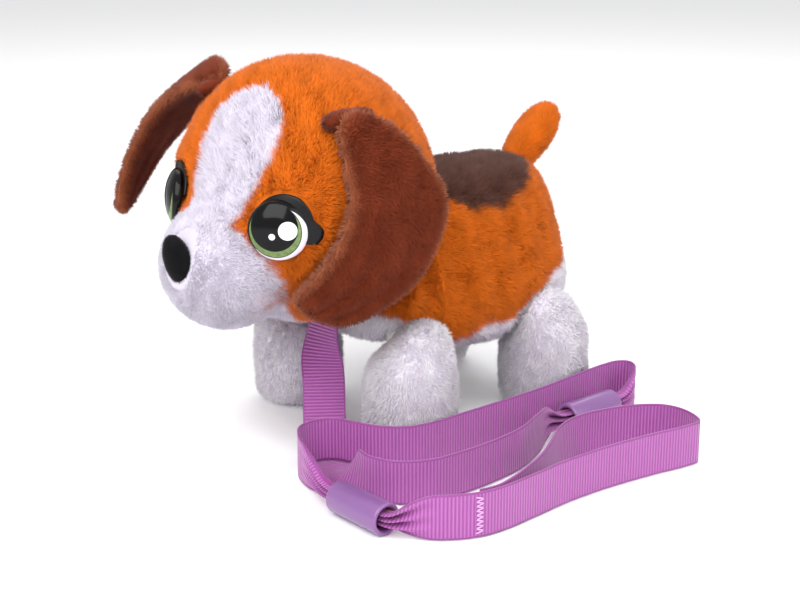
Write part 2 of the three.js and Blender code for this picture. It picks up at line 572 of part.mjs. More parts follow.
const BACK_RUN = [
  [81.6, 38.6, 7.4, 90, 3.4, 3.4], [82, 56, 7.4, 90, 3.4, 3.4], [82.2, 62, 8, 90, 4.6, 2.6],
  [81.8, 67.5, 9.6, 90, 7.6, 1], [79, 73, 11.4, 90, WIDE, THIN], [74, 74.5, 12.4, 90, WIDE, THIN],
  [70, 70, 12.6, 90, WIDE, THIN], [68.6, 61, 12.4, 90, WIDE, THIN], [68.2, 44, 11.6, 90, WIDE, THIN],
  [68.4, 25, 10.8, 90, WIDE, THIN], [68.8, 6, 10.6, 90, WIDE, THIN], [68.8, -14, 10.6, 90, WIDE, THIN],
  [68.4, -34, 10.6, 90, WIDE, THIN], [68, -51, 10.6, 90, WIDE, THIN], [65, -65, 10.8, 90, WIDE, THIN],
  [58, -76, 11.8, 90, WIDE, THIN], [48, -82.8, 12.7, 90, WIDE, THIN], [38.5, -87.5, 12.8, 90, WIDE, THIN],
  [35, -96, 12.8, 90, WIDE, THIN], [36.5, -104.5, 12.6, 90, WIDE, THIN],
  [43, -110.5, 12, 90, WIDE, THIN], [52, -114, 11, 90, 9.4, THIN], [61.5, -116.4, 9.4, 90, 7, 1.2],
  [70.5, -117.8, 7.8, 90, 4.2, 2.8], [78, -118.4, 7.4, 90, 3.4, 3.4], [96, -118.4, 7.4, 90, 3.4, 3.4],
];
const HAND_LOOP = [
  [96.6, -118.4, 7.4, 90, 3.4, 3.4], [114, -117.6, 7.4, 90, 3.6, 3], [120, -114.6, 8.8, 90, 6.4, 1.6],
  [127, -109, 10.4, 90, 9.4, THIN], [133.5, -101, 10.6, 90, WIDE, THIN],
  [138.5, -91, 10.6, 90, WIDE, THIN], [140.5, -78, 10.6, 90, WIDE, THIN],
  [139.8, -60, 10.6, 90, WIDE, THIN], [138.6, -38, 10.6, 90, WIDE, THIN],
  [139.6, -14, 10.6, 90, WIDE, THIN], [143, 12, 10.6, 90, WIDE, THIN], [146.5, 31, 10.6, 90, WIDE, THIN],
  [146.6, 39.5, 10.6, 90, WIDE, THIN], [141.5, 43.5, 10.6, 90, WIDE, THIN],
  [132, 46, 10.6, 90, WIDE, THIN], [122.5, 44, 10.6, 90, WIDE, THIN], [114, 34, 10.6, 90, WIDE, THIN],
  [108, 19, 10.6, 90, WIDE, THIN], [105.8, 2, 10.6, 90, WIDE, THIN], [109.5, -13, 10.6, 90, WIDE, THIN],
  [118, -27, 10.6, 90, WIDE, THIN], [126.5, -42, 10.6, 90, WIDE, THIN],
  [132.5, -57, 10.6, 90, WIDE, THIN], [136.5, -70, 10.6, 90, WIDE, THIN],
  [138.2, -80, 10.6, 90, WIDE, THIN], [136.8, -89, 10.6, 90, WIDE, THIN],
];

function ribbon(rows) {
  const steps = 2 * (rows.length - 1);
  const route = new THREE.CatmullRomCurve3(rows.map((row) => new THREE.Vector3(...row)), false,
    'centripetal');
  const up = new THREE.Vector3(0, 0, 1);
  const blend = (at, column) => {
    const low = Math.min(rows.length - 2, Math.floor(at));
    return THREE.MathUtils.lerp(rows[low][column], rows[low + 1][column], at - low);
  };
  const geometry = new THREE.BoxGeometry(2, 2, 1, 1, 1, steps);
  shaped(geometry, (p) => {
    const share = THREE.MathUtils.clamp(p.z + 0.5, 0, 1);
    const at = share * (rows.length - 1);
    const along = route.getTangent(share);
    const level = new THREE.Vector3(-along.y, along.x, 0).normalize();
    const heading = blend(at, 6);
    if (heading !== undefined && !Number.isNaN(heading)) {
      level.set(Math.cos(heading * DEGREE), Math.sin(heading * DEGREE), 0);
    }
    const tilt = blend(at, 3) * DEGREE;
    const across = level.multiplyScalar(Math.cos(tilt)).addScaledVector(up, Math.sin(tilt));
    const through = new THREE.Vector3().crossVectors(along, across).normalize();
    const half = p.x * blend(at, 4);
    const thick = p.y * blend(at, 5);
    p.copy(route.getPoint(share)).addScaledVector(across, half).addScaledVector(through, thick);
  });
  return solid(geometry);
}
piece('leash_throat_run', ribbon(THROAT_RUN), FINISH.violet);
piece('leash_back_run', ribbon(BACK_RUN), FINISH.violet);
piece('leash_hand_loop', ribbon(HAND_LOOP), FINISH.violet);
const tube = (axis, from, to, across) => cut(
  bar(axis, SLEEVE.outer, from, to, across, 24),
  bar(axis, SLEEVE.inner, from - 1, to + 1, across, 20),
);
piece('sleeve_rear', tube('y', 21.5, 21.5 + SLEEVE.length, [81.6, 7.4]), FINISH.lilac);
piece('sleeve_front', tube('x', 80.5, 80.5 + SLEEVE.length, [-118.4, 7.4]), FINISH.lilac);

export default puppy;
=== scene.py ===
import json
import math

import bmesh
import bpy
import numpy as np
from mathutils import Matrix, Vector


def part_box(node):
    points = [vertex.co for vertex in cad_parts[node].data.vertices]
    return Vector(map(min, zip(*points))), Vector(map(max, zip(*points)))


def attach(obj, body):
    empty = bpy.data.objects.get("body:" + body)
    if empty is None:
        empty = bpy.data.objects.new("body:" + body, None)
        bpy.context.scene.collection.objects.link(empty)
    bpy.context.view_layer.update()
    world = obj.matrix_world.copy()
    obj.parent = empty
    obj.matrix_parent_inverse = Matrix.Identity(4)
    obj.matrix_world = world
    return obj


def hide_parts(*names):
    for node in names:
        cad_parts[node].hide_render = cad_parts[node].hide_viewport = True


# %% [markdown]
# A plush toy has two halves: a hard frame that was already drawn, part by part, and the soft things
# round it. This lesson loads the frame, keeps every hard part where it stands, and sews the soft
# things over it: the skins, their pile, the eyes, the collar and the ribbon leash.

# %% The frame and the drawing's own units
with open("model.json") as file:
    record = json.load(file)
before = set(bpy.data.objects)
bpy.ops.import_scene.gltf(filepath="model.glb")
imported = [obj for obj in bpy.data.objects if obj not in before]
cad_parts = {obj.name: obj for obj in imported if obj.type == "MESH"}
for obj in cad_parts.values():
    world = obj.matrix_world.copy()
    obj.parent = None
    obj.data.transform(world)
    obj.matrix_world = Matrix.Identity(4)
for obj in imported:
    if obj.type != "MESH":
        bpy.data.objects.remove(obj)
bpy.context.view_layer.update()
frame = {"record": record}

# %% [markdown]
# The toy is drawn in millimetres from the middle of its four feet, with its face towards -Y. The
# frame's own zero lies under the middle of the whole box, so one shift carries the drawing there.
# The head is turned and tipped a little about its own centre, so its parts are drawn upright first.

# %% From drawing to frame
SHIFT = np.array([18.0, 29.8, 0.0])
HEAD_CENTRE = np.array([0.0, -72.0, 120.0])
HEAD_YAW, HEAD_ROLL = math.radians(5), math.radians(3)
rng = np.random.default_rng(20)


def head_turn():
    """The head's rotation: first a roll about Y, then a turn about Z."""
    c, s = math.cos(HEAD_ROLL), math.sin(HEAD_ROLL)
    roll = np.array([[c, 0, s], [0, 1, 0], [-s, 0, c]])
    c, s = math.cos(HEAD_YAW), math.sin(HEAD_YAW)
    return np.array([[c, -s, 0], [s, c, 0], [0, 0, 1]]) @ roll


HEAD_MATRIX = head_turn()


def from_head(points):
    """Points drawn on the upright head, carried to the drawing: turned, then moved to its centre."""
    return points @ HEAD_MATRIX.T + HEAD_CENTRE


def to_frame(points):
    """Millimetres from the middle of the feet become metres from the frame's zero."""
    return (np.asarray(points, float) + SHIFT) / 1000


# %% [markdown]
# The camera looks at the left cheek from a little above. A long lens stands well back, as for a
# catalogue picture, so that the near ear and the leash don't swell.

# %% The camera
CAMERA_AZIMUTH, CAMERA_ELEVATION = math.radians(49), math.radians(17)
CAMERA_TARGET = np.array([-6.7, -7.7, 52.2])
CAMERA_DISTANCE = 800.0


def stood_back(name, data, target, azimuth, elevation, distance):
    """An object that looks at a target along a line turned by the azimuth and raised by the
    elevation, both in radians."""
    flat = math.cos(elevation)
    back = np.array([math.sin(azimuth) * flat, -math.cos(azimuth) * flat, math.sin(elevation)])
    watcher = bpy.data.objects.new(name, data)
    bpy.context.collection.objects.link(watcher)
    watcher.location = to_frame(target + back * distance)
    watcher.rotation_euler = Vector(back).to_track_quat("Z", "Y").to_euler()
    return watcher


lens = bpy.data.cameras.new("camera")
lens.lens, lens.sensor_width, lens.clip_start = 72.0, 36.0, 0.01
bpy.context.scene.camera = stood_back("camera", lens, CAMERA_TARGET, CAMERA_AZIMUTH, CAMERA_ELEVATION,
                                      CAMERA_DISTANCE)

# %% [markdown]
# Every surface here is a grid of points worked out with numpy and handed to Blender in one go. A
# grid may close on itself round one way or both, and its ends may be shut with a fan.

# %% Grids into meshes
def around(columns):
    """Angles of a full turn in equal steps, the last one step short of the first."""
    return np.linspace(0, 2 * math.pi, columns, endpoint=False)


def unit(vectors):
    """Vectors of length one along the last axis: each divided by its own length."""
    return vectors / np.linalg.norm(vectors, axis=-1, keepdims=True)


def bent(values, power):
    """Sizes raised to a power with their signs kept, which squares or pinches a circle."""
    return np.sign(values) * np.abs(values) ** power


def mesh_piece(name, points, faces, material, smooth=True, uv=None):
    """An object from an array of points in the drawing's millimetres and a list of faces."""
    mesh = bpy.data.meshes.new(name)
    mesh.from_pydata(to_frame(points).tolist(), [], [list(map(int, face)) for face in faces])
    if uv is not None:
        layer = mesh.uv_layers.new(name="flat")
        corner = np.zeros(len(mesh.loops), dtype=np.int32)
        mesh.loops.foreach_get("vertex_index", corner)
        layer.uv.foreach_set("vector", np.asarray(uv, dtype=np.float32)[corner].ravel())
    mesh.polygons.foreach_set("use_smooth", [smooth] * len(mesh.polygons))
    mesh.update()
    piece = bpy.data.objects.new(name, mesh)
    bpy.context.collection.objects.link(piece)
    if material:
        piece.data.materials.append(material)
    return piece


def grid_faces(rows, columns, ring=False):
    """Four-sided faces of a grid that closes round the back; in a ring its rows close up as well."""
    r, c = np.meshgrid(np.arange(rows if ring else rows - 1), np.arange(columns), indexing="ij")
    below, beside = (r + 1) % rows, (c + 1) % columns
    return np.stack([r * columns + c, r * columns + beside, below * columns + beside,
                     below * columns + c], axis=-1).reshape(-1, 4)


def capped_grid(points):
    """Faces of a closed-round grid with its first and last rows shut by one many-sided face each."""
    rows, columns = points.shape[:2]
    faces = grid_faces(rows, columns).tolist()
    faces.append(list(range(columns))[::-1])
    faces.append(list(range((rows - 1) * columns, rows * columns)))
    return faces


def face_outwards(piece):
    """Turns every face of a closed piece outwards."""
    work = bmesh.new()
    work.from_mesh(piece.data)
    bmesh.ops.recalc_face_normals(work, faces=work.faces)
    work.to_mesh(piece.data)
    work.free()
    return piece


def closed_piece(name, grid, material, uv=None):
    """A grid closed round the back, with both ends shut and its faces turned outwards."""
    return face_outwards(mesh_piece(name, grid.reshape(-1, 3), capped_grid(grid), material, uv=uv))


def smooth_path(points, per_span=12):
    """A centripetal curve through the points: each span's cubic leaves and arrives along its
    neighbours, with knots spaced by the square root of the distance between points."""
    points = np.asarray(points, float)
    ends = np.vstack([2 * points[0] - points[1], points, 2 * points[-1] - points[-2]])
    out = []
    for i in range(1, len(ends) - 2):
        p0, p1, p2, p3 = ends[i - 1:i + 3]
        k = np.cumsum([0] + [np.linalg.norm(b - a) ** 0.5 + 1e-9
                             for a, b in ((p0, p1), (p1, p2), (p2, p3))])
        t = np.linspace(k[1], k[2], per_span, endpoint=False)[:, None]
        a1 = (k[1] - t) / (k[1] - k[0]) * p0 + (t - k[0]) / (k[1] - k[0]) * p1
        a2 = (k[2] - t) / (k[2] - k[1]) * p1 + (t - k[1]) / (k[2] - k[1]) * p2
        a3 = (k[3] - t) / (k[3] - k[2]) * p2 + (t - k[2]) / (k[3] - k[2]) * p3
        b1 = (k[2] - t) / (k[2] - k[0]) * a1 + (t - k[0]) / (k[2] - k[0]) * a2
        b2 = (k[3] - t) / (k[3] - k[1]) * a2 + (t - k[1]) / (k[3] - k[1]) * a3
        out.append((k[2] - t) / (k[2] - k[1]) * b1 + (t - k[1]) / (k[2] - k[1]) * b2)
    return np.vstack(out + [points[-1:]])


# %% [markdown]
# Colours are written as on a screen and turned into the linear values that a shader mixes. The same
# faint mottling belongs to nearly every finish, so it is one node group with its own inputs.

# %% Colours and the shared mottling
def screen(r, g, b):
    """Screen values from 0 to 255 become linear ones by the standard curve."""
    c = np.array([r, g, b]) / 255
    return np.where(c <= 0.04045, c / 12.92, ((c + 0.055) / 1.055) ** 2.4)


def mottle_group():
    """Colour times one plus an amount of noise that is read from the object's own coordinates."""
    group = bpy.data.node_groups.new("mottle", "ShaderNodeTree")
    for name, kind in (("Colour", "NodeSocketColor"), ("Amount", "NodeSocketFloat"),
                       ("Scale", "NodeSocketFloat")):
        group.interface.new_socket(name=name, in_out="INPUT", socket_type=kind)
    group.interface.new_socket(name="Colour", in_out="OUTPUT", socket_type="NodeSocketColor")
    group.interface.new_socket(name="Noise", in_out="OUTPUT", socket_type="NodeSocketFloat")
    nodes, links = group.nodes, group.links
    entry, leave = nodes.new("NodeGroupInput"), nodes.new("NodeGroupOutput")
    place, noise = nodes.new("ShaderNodeTexCoord"), nodes.new("ShaderNodeTexNoise")
    noise.inputs["Detail"].default_value = 4
    centred, scaled, lifted = (nodes.new("ShaderNodeMath") for _ in range(3))
    centred.operation, scaled.operation, lifted.operation = "SUBTRACT", "MULTIPLY", "ADD"
    centred.inputs[1].default_value, lifted.inputs[1].default_value = 0.5, 1.0
    tint = nodes.new("ShaderNodeVectorMath")
    tint.operation = "SCALE"
    links.new(place.outputs["Object"], noise.inputs["Vector"])
    links.new(entry.outputs["Scale"], noise.inputs["Scale"])
    links.new(noise.outputs["Fac"], centred.inputs[0])
    links.new(centred.outputs[0], scaled.inputs[0])
    links.new(entry.outputs["Amount"], scaled.inputs[1])
    links.new(scaled.outputs[0], lifted.inputs[0])
    links.new(entry.outputs["Colour"], tint.inputs[0])
    links.new(lifted.outputs[0], tint.inputs["Scale"])
    links.new(tint.outputs[0], leave.inputs["Colour"])
    links.new(noise.outputs["Fac"], leave.inputs["Noise"])
    return group


MOTTLE = mottle_group()


class Finish:
    """A material under construction: its node tree, its one shader, and short ways to add to it."""

    def __init__(self, name, rough, metal=0.0):
        self.material = bpy.data.materials.new(name)
        self.material.use_nodes = True
        self.nodes, self.links = self.material.node_tree.nodes, self.material.node_tree.links
        self.shader = self.nodes["Principled BSDF"]
        self.set(Roughness=rough, Metallic=metal)

    def set(self, **values):
        """Constants straight on the shader's own sockets."""
        for name, value in values.items():
            self.shader.inputs[name.replace("_", " ")].default_value = value
        return self

    def add(self, kind, **inputs):
        """A node, its inputs filled by number or name from values or from other nodes' outputs."""
        return self.fill(self.nodes.new(kind), inputs)

    def fill(self, node, inputs):
        """Puts each value in its input, or links it if it is an output of another node."""
        for name, value in inputs.items():
            socket = node.inputs[int(name[1:]) if name[1:].isdigit() else name.replace("_", " ")]
            if isinstance(value, bpy.types.NodeSocket):
                self.links.new(value, socket)
            else:
                socket.default_value = value
        return node

    def math(self, operation, *values):
        """One arithmetic node on one to three values."""
        node = self.nodes.new("ShaderNodeMath")
        node.operation = operation
        self.fill(node, {f"_{i}": value for i, value in enumerate(values)})
        return node.outputs[0]

    def noise(self, scale, vector=None):
        """Noise from 0 to 1, read from the object's own coordinates unless another vector is given."""
        if vector is None:
            vector = self.add("ShaderNodeTexCoord").outputs["Object"]
        return self.add("ShaderNodeTexNoise", Vector=vector, Scale=scale).outputs["Fac"]

    def mottled(self, colour, amount, scale):
        """Base colour through the shared mottling; gives the group node back."""
        node = self.nodes.new("ShaderNodeGroup")
        node.node_tree = MOTTLE
        self.fill(node, {"Colour": colour, "Amount": amount, "Scale": scale})
        self.links.new(node.outputs["Colour"], self.shader.inputs["Base Color"])
        return node

    def bump(self, height, distance, strength=1.0):
        """A height in millimetres of relief feeds the shader's normal."""
        node = self.add("ShaderNodeBump", Height=height, Distance=distance / 1000, Strength=strength)
        self.links.new(node.outputs["Normal"], self.shader.inputs["Normal"])
        return self

    def mix(self, share, first, second):
        """A blend of two colours by a share from 0 to 1."""
        node = self.nodes.new("ShaderNodeMix")
        node.data_type = "RGBA"
        self.fill(node, {"_0": share, "_6": first, "_7": second})
        return node.outputs[2]


def flat_colour(values):
    """Four numbers for a colour socket."""
    return (*[float(v) for v in values], 1.0)


# %% [markdown]
# The hard parts inside keep their drawn shape. Moulded housings have a fine spark texture, nylon is
# a little waxy, plated steel is drawn, cells wear a printed jacket, and the board is glossy resist.

# %% Finishes of the frame's parts
def moulded(name, colour, rough, grain=260.0):
    """Moulded plastic: a mottled colour and a fine spark texture as bump."""
    finish = Finish(name, rough)
    node = finish.mottled(flat_colour(colour), 0.08, 60.0)
    finish.bump(finish.noise(grain * 10), 0.04, 0.5)
    shade = finish.math("MULTIPLY_ADD", node.outputs["Noise"], 0.15, rough - 0.07)
    finish.links.new(shade, finish.shader.inputs["Roughness"])
    return finish.material


def plated(name, colour, rough):
    """Drawn and plated steel: metal with long fine scratches along one axis."""
    finish = Finish(name, rough, 1.0)
    finish.mottled(flat_colour(colour), 0.1, 90.0)
    place = finish.add("ShaderNodeTexCoord")
    stretch = finish.add("ShaderNodeMapping", Vector=place.outputs["Object"], Scale=(60.0, 1400.0, 1400.0))
    shade = finish.math("MULTIPLY_ADD", finish.noise(1.0, stretch.outputs["Vector"]), 0.25, rough - 0.1)
    finish.links.new(shade, finish.shader.inputs["Roughness"])
    return finish.material


def banded(name, low, high, along, edge):
    """A cell's jacket: two colours that meet at one place along one axis of its object."""
    finish = Finish(name, 0.32, 0.35)
    place = finish.add("ShaderNodeTexCoord")
    parts = finish.add("ShaderNodeSeparateXYZ", Vector=place.outputs["Object"])
    side = finish.math("GREATER_THAN", parts.outputs[along], edge)
    finish.mottled(finish.mix(side, flat_colour(low), flat_colour(high)), 0.06, 80.0)
    return finish.set(Coat_Weight=0.4).material


MECHANICS = {
    "housing_plastic": moulded("housing plastic", screen(228, 224, 216), 0.5),
    "mechanism_nylon": moulded("nylon", screen(240, 238, 230), 0.42, 120.0),
    "black_plastic": moulded("black plastic", screen(40, 40, 43), 0.55),
    "board_green": moulded("solder resist", screen(28, 98, 58), 0.3, 60.0),
    "steel_bright": plated("plated steel", screen(205, 207, 210), 0.3),
    "cell_jacket": banded("cell jacket", screen(190, 150, 60), screen(45, 75, 150), 1,
                          float(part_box("battery_2")[1][1]) - 0.015),
}
slot_of = {part["node"]: part["material_slot"] for part in frame["record"]["subparts"]}


def dress(node, material):
    """Puts one material in every slot of a frame node's object."""
    target = bpy.data.objects[node]
    if not target.material_slots:
        target.data.materials.append(material)
    for slot in target.material_slots:
        slot.link = "OBJECT"
        slot.material = material


for node, slot in slot_of.items():
    if slot in MECHANICS:
        dress(node, MECHANICS[slot])

# %% [markdown]
# The leash is one grosgrain ribbon, 20 mm wide. It hangs from the collar, turns flat under its own
# first bend, stands on edge along the floor, and is gathered into folds where it runs through the
# two sleeves. Its end is sewn back on itself as a hand loop. It is made first with its true length,
# as a strip carried along the route, whose cross-section folds up as its width is squeezed.

# %% The ribbon's route
WIDE, THICK = 10.0, 0.9
# x, y and z of the ribbon's middle, then its tilt (0 flat, 90 on edge) and its half width. A row of
# three numbers stands on edge at full width.
THROAT_RUN = [
    [0, -61.5, 54, 0, WIDE], [3, -65.5, 41, 0, WIDE], [10, -70, 29, 0, WIDE], [16.5, -75, 17, 0, WIDE],
    [23.5, -80, 7, 0, WIDE], [32, -85, 2, 0, WIDE], [41, -87.5, 1.2, 0, WIDE],
    [48, -91.5, 1.4, 2, WIDE], [55, -95.5, 4.2, 18, WIDE], [62, -98.5, 8.2, 48, WIDE],
    [70, -100.5, 10.3, 74, WIDE], [81, -100, 10.6], [92, -95, 10.6], [99.5, -84, 10.6],
    [102, -68, 10.6], [102, -48, 10.6], [99, -27, 10.6], [91.5, -8, 10.6], [84, 6, 9.5, 90, 8],
    [81.3, 15, 7.6, 90, 4.2], [81.2, 21, 7.4, 90, 3.4], [81.6, 38, 7.4, 90, 3.4],
]
BACK_RUN = [
    [82, 56, 7.4, 90, 3.4], [82.2, 62, 8, 90, 4.6], [81.8, 67.5, 9.6, 90, 7.6], [79, 73, 11.4],
    [74, 74.5, 12.4], [70, 70, 12.6], [68.6, 61, 12.4], [68.2, 44, 11.6], [68.4, 25, 10.8],
    [68.8, 6, 10.6], [68.8, -14, 10.6], [68.4, -34, 10.6], [68, -51, 10.6], [65, -65, 10.8],
    [58, -76, 11.8], [48, -82.8, 12.7], [38.5, -87.5, 12.8], [35, -96, 12.8], [36.5, -104.5, 12.6],
    [43, -110.5, 12], [52, -114, 11, 90, 9.4], [61.5, -116.4, 9.4, 90, 7], [70.5, -117.8, 7.8, 90, 4.2],
    [78, -118.4, 7.4, 90, 3.4], [96, -118.4, 7.4, 90, 3.4],
]
HAND_LOOP = [
    [114, -117.6, 7.4, 90, 3.6], [120, -114.6, 8.8, 90, 6.4], [127, -109, 10.4, 90, 9.4],
    [133.5, -101, 10.6], [138.5, -91, 10.6], [140.5, -78, 10.6], [139.8, -60, 10.6], [138.6, -38, 10.6],
    [139.6, -14, 10.6], [143, 12, 10.6], [146.5, 31, 10.6], [146.6, 39.5, 10.6], [141.5, 43.5, 10.6],
    [132, 46, 10.6], [122.5, 44, 10.6], [114, 34, 10.6], [108, 19, 10.6], [105.8, 2, 10.6],
    [109.5, -13, 10.6], [118, -27, 10.6], [126.5, -42, 10.6], [132.5, -57, 10.6], [136.5, -70, 10.6],
    [138.2, -80, 10.6], [136.8, -89, 10.6],
]
ROUTE = np.array([row if len(row) == 5 else [*row, 90, WIDE]
                  for row in THROAT_RUN + BACK_RUN + HAND_LOOP], float)
ribbon_line = smooth_path(ROUTE, 14)

# %% Grosgrain
RIB_PITCH, THREAD_PITCH, WOVEN_EDGE = 1.6, 0.5, 9.2


def grosgrain(name, colour, light):
    """Ribs across the ribbon: a sine of the distance along it, flat at the two woven edges. The rib crests
    take the lighter colour, a painted highlight.
    """
    finish = Finish(name, 0.5)
    uv = finish.add("ShaderNodeUVMap")
    uv.uv_map = "flat"
    parts = finish.add("ShaderNodeSeparateXYZ", Vector=uv.outputs["UV"])
    wave = finish.math("SINE", finish.math("MULTIPLY", parts.outputs[0], 2 * math.pi / RIB_PITCH))
    from_middle = finish.math("ABSOLUTE", parts.outputs[1])
    inside = finish.math("LESS_THAN", from_middle, WOVEN_EDGE)
    rib = finish.math("MULTIPLY", finish.math("MULTIPLY_ADD", wave, 0.5, 0.5), inside)
    thread = finish.math("SINE", finish.math("MULTIPLY", parts.outputs[1], 2 * math.pi / THREAD_PITCH))
    height = finish.math("MULTIPLY_ADD", thread, 0.12, rib)
    # painted highlight: the rib crests blend towards the lighter colour
    tone_with_painted_light = finish.mix(rib, flat_colour(colour), flat_colour(light))
    finish.mottled(tone_with_painted_light, 0.10, 120.0)
    finish.bump(height, 0.32, 0.9)
    return finish.set(Sheen_Weight=0.25, Sheen_Roughness=0.4, Specular_IOR_Level=0.55).material


# the second colour is a painted highlight on the rib crests
RIBBON = grosgrain("violet grosgrain", screen(140, 58, 136), screen(178, 98, 172))


# %% The ribbon itself
RIPPLES, START_ROWS = 3, 28.0


def ribbon_strip(name, line, material):
    """A strip of a set true width along a line: each cross-section leans by its tilt, and where it
    is narrower than its cloth it waves in and out, so that the cloth keeps about its full width."""
    points, tilt, half = line[:, :3], np.radians(line[:, 3]), line[:, 4]
    along = unit(np.gradient(points, axis=0))
    level = np.stack([-along[:, 1], along[:, 0], np.zeros(len(along))], axis=1)
    start = np.clip(np.arange(len(along)) / START_ROWS, 0, 1)[:, None]
    level = level / np.maximum(np.linalg.norm(level, axis=1, keepdims=True), 1e-6)
    level = level * start + np.array([1.0, 0, 0]) * (1 - start)
    across = level * np.cos(tilt)[:, None] + np.array([0, 0, 1.0]) * np.sin(tilt)[:, None]
    across = unit(across)
    through = unit(np.cross(along, across))
    share = np.linspace(-1, 1, 33)
    squeeze = np.clip(1 - half / WIDE, 0, 1)
    depth = np.minimum(3.0, 4.6 * squeeze)
    waves = np.sin(share[None, :] * math.pi * RIPPLES + 0.6) * depth[:, None]
    middle = (points[:, None] + across[:, None] * (share[None, :] * half[:, None])[..., None]
              + through[:, None] * waves[..., None])
    front = middle + through[:, None] * THICK / 2
    back = middle - through[:, None] * THICK / 2
    loop = np.concatenate([front, back[:, ::-1]], axis=1)
    run = np.concatenate([[0], np.cumsum(np.linalg.norm(np.diff(points, axis=0), axis=1))])
    wide = np.concatenate([share, share[::-1]]) * WIDE
    uv = np.stack(np.broadcast_arrays(run[:, None], wide[None, :]), axis=-1).reshape(-1, 2)
    return closed_piece(name, loop, material, uv)


leash = ribbon_strip("leash_ribbon", ribbon_line, RIBBON)
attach(leash, "torso")
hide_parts("leash_throat_run", "leash_back_run", "leash_hand_loop")


# %% [markdown]
# Two short lilac tubes slide on the gathered ribbon. Each is a ring-shaped profile turned round a
# straight line, its lips rounded, so it catches the light along its edge.

# %% Sleeves
SLEEVE_OUT, SLEEVE_IN, SLEEVE_LONG = 7.2, 5.2, 32.0


def tube_surface(start, along, columns=48):
    """A closed ring profile, rounded at its four corners, turned about the line from start."""
    lip = np.linspace(0, math.pi, 9)
    wall = (SLEEVE_OUT - SLEEVE_IN) / 2
    middle = SLEEVE_IN + wall
    near = np.stack([middle + wall * np.cos(lip), wall - wall * np.sin(lip)], axis=1)
    far = np.stack([middle - wall * np.cos(lip), SLEEVE_LONG - wall + wall * np.sin(lip)], axis=1)
    profile = np.concatenate([near, far])
    turn = around(columns)
    side = np.cross(along, [0, 0, 1.0])
    spoke = np.cos(turn)[:, None] * side + np.sin(turn)[:, None] * np.array([0, 0, 1.0])
    return (np.asarray(start) + profile[:, None, 1:2] * np.asarray(along)
            + profile[:, None, 0:1] * spoke[None])


def lilac_plastic():
    """Soft lilac plastic, mottled, with a fine noise relief, a clear coat and a little light scattered
    under its surface.
    """
    finish = Finish("lilac sleeve", 0.3)
    finish.mottled(flat_colour(screen(126, 84, 140)), 0.12, 180.0)
    finish.bump(finish.noise(420.0), 0.05, 0.5)
    return finish.set(Coat_Weight=0.35, Coat_Roughness=0.2, Subsurface_Weight=0.1).material


LILAC = lilac_plastic()
for name, start, along in (("rear", (81.6, 21.5, 7.4), (0, 1.0, 0)),
                           ("front", (80.5, -118.4, 7.4), (1.0, 0, 0))):
    shell = tube_surface(start, along)
    sleeve = face_outwards(mesh_piece(f"sleeve_{name}_shell", shell.reshape(-1, 3),
                                      grid_faces(*shell.shape[:2], ring=True), LILAC))
    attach(sleeve, "torso")
    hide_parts(f"sleeve_{name}")

# %% [markdown]
# Two zig-zag seams hold the leash: one where the hand loop is sewn back on the ribbon, and one at
# the throat. A zig-zag of thread is a thin tube carried along a folded line.

# %% Stitches
def thread_tube(name, line, radius=0.32, sides=6):
    """A round tube along a line of points, square to the line at each of them."""
    along = unit(np.gradient(line, axis=0))
    side = unit(np.cross(along, np.array([0.21, 0.35, 0.91])))
    up = np.cross(along, side)
    turn = around(sides)
    rings = (line[:, None] + radius * (np.cos(turn)[None, :, None] * side[:, None]
             + np.sin(turn)[None, :, None] * up[:, None]))
    return closed_piece(name, rings, THREAD)


def thread_finish():
    """Spun thread: a pale violet with a fine twist."""
    finish = Finish("violet thread", 0.55)
    finish.mottled(flat_colour(screen(216, 160, 214)), 0.25, 900.0)
    return finish.set(Sheen_Weight=0.3).material


THREAD = thread_finish()


def zigzag(centre, across, along, out, steps=8, width=16.0, stride=1.5, lift=0.75):
    """A zig-zag: steps up the width, swinging by the stride to either side, lifted off the cloth."""
    t = np.linspace(-0.5, 0.5, steps * 2 + 1)
    swing = np.where(np.arange(len(t)) % 2, 1.0, -1.0) * stride
    corners = (np.asarray(centre, float) + t[:, None] * width * np.asarray(across, float)
               + swing[:, None] * np.asarray(along, float) + lift * np.asarray(out, float))
    return smooth_path(corners, 4)


def ribbon_axes(row):
    """Unit vectors at a place on the route: along it, and out of its face."""
    along = ribbon_line[row + 1, :3] - ribbon_line[row - 1, :3]
    along /= np.linalg.norm(along)
    out = np.cross(along, [0, 0, 1.0])
    return along, out / np.linalg.norm(out)


seam_row = int(np.argmin(np.linalg.norm(ribbon_line[:, :3] - np.array([138.5, -91, 10.6]), axis=1)))
seam_along, seam_out = ribbon_axes(seam_row)
seam = thread_tube("hand_loop_stitches", zigzag(ribbon_line[seam_row, :3], (0, 0, 1.0), seam_along,
                                                seam_out))
throat = thread_tube("throat_stitches", zigzag((1.5, -63.0, 44.5), (0.98, 0.17, 0), (0, -0.25, -0.97),
                                               (0.1, -0.96, 0.25)))
for piece in (seam, throat):
    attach(piece, "torso")

# %% [markdown]
# Plush is a knitted backing with dense pile. Here the backing is a closed skin, and each tuft of
# pile is a slim three-sided needle. All needles are worked out at once from points scattered by area.

# %% Slow waves that comb the pile
def drift(points, wavelength, seed):
    """Three smooth fields: each is a mean of eight sines of the place in eight fixed directions."""
    pick = np.random.default_rng(seed)
    waves = pick.normal(size=(3, 8, 3))
    waves *= 2 * math.pi / wavelength / np.linalg.norm(waves, axis=2, keepdims=True)
    phase = pick.uniform(0, 2 * math.pi, (3, 8))
    return np.sin(np.einsum("nk,fwk->nfw", points, waves) + phase).mean(axis=2) * 2


def dye_and_painted_light_layer(mesh, colours):
    """Stores one linear colour per vertex in the attribute that the plush finish reads."""
    # the stored colours carry painted shade and painted highlights as well as the dye
    layer = mesh.color_attributes.new("dye_and_painted_light", "FLOAT_COLOR", "POINT")
    layer.data.foreach_set("color", np.column_stack([colours, np.ones(len(colours))]).ravel())


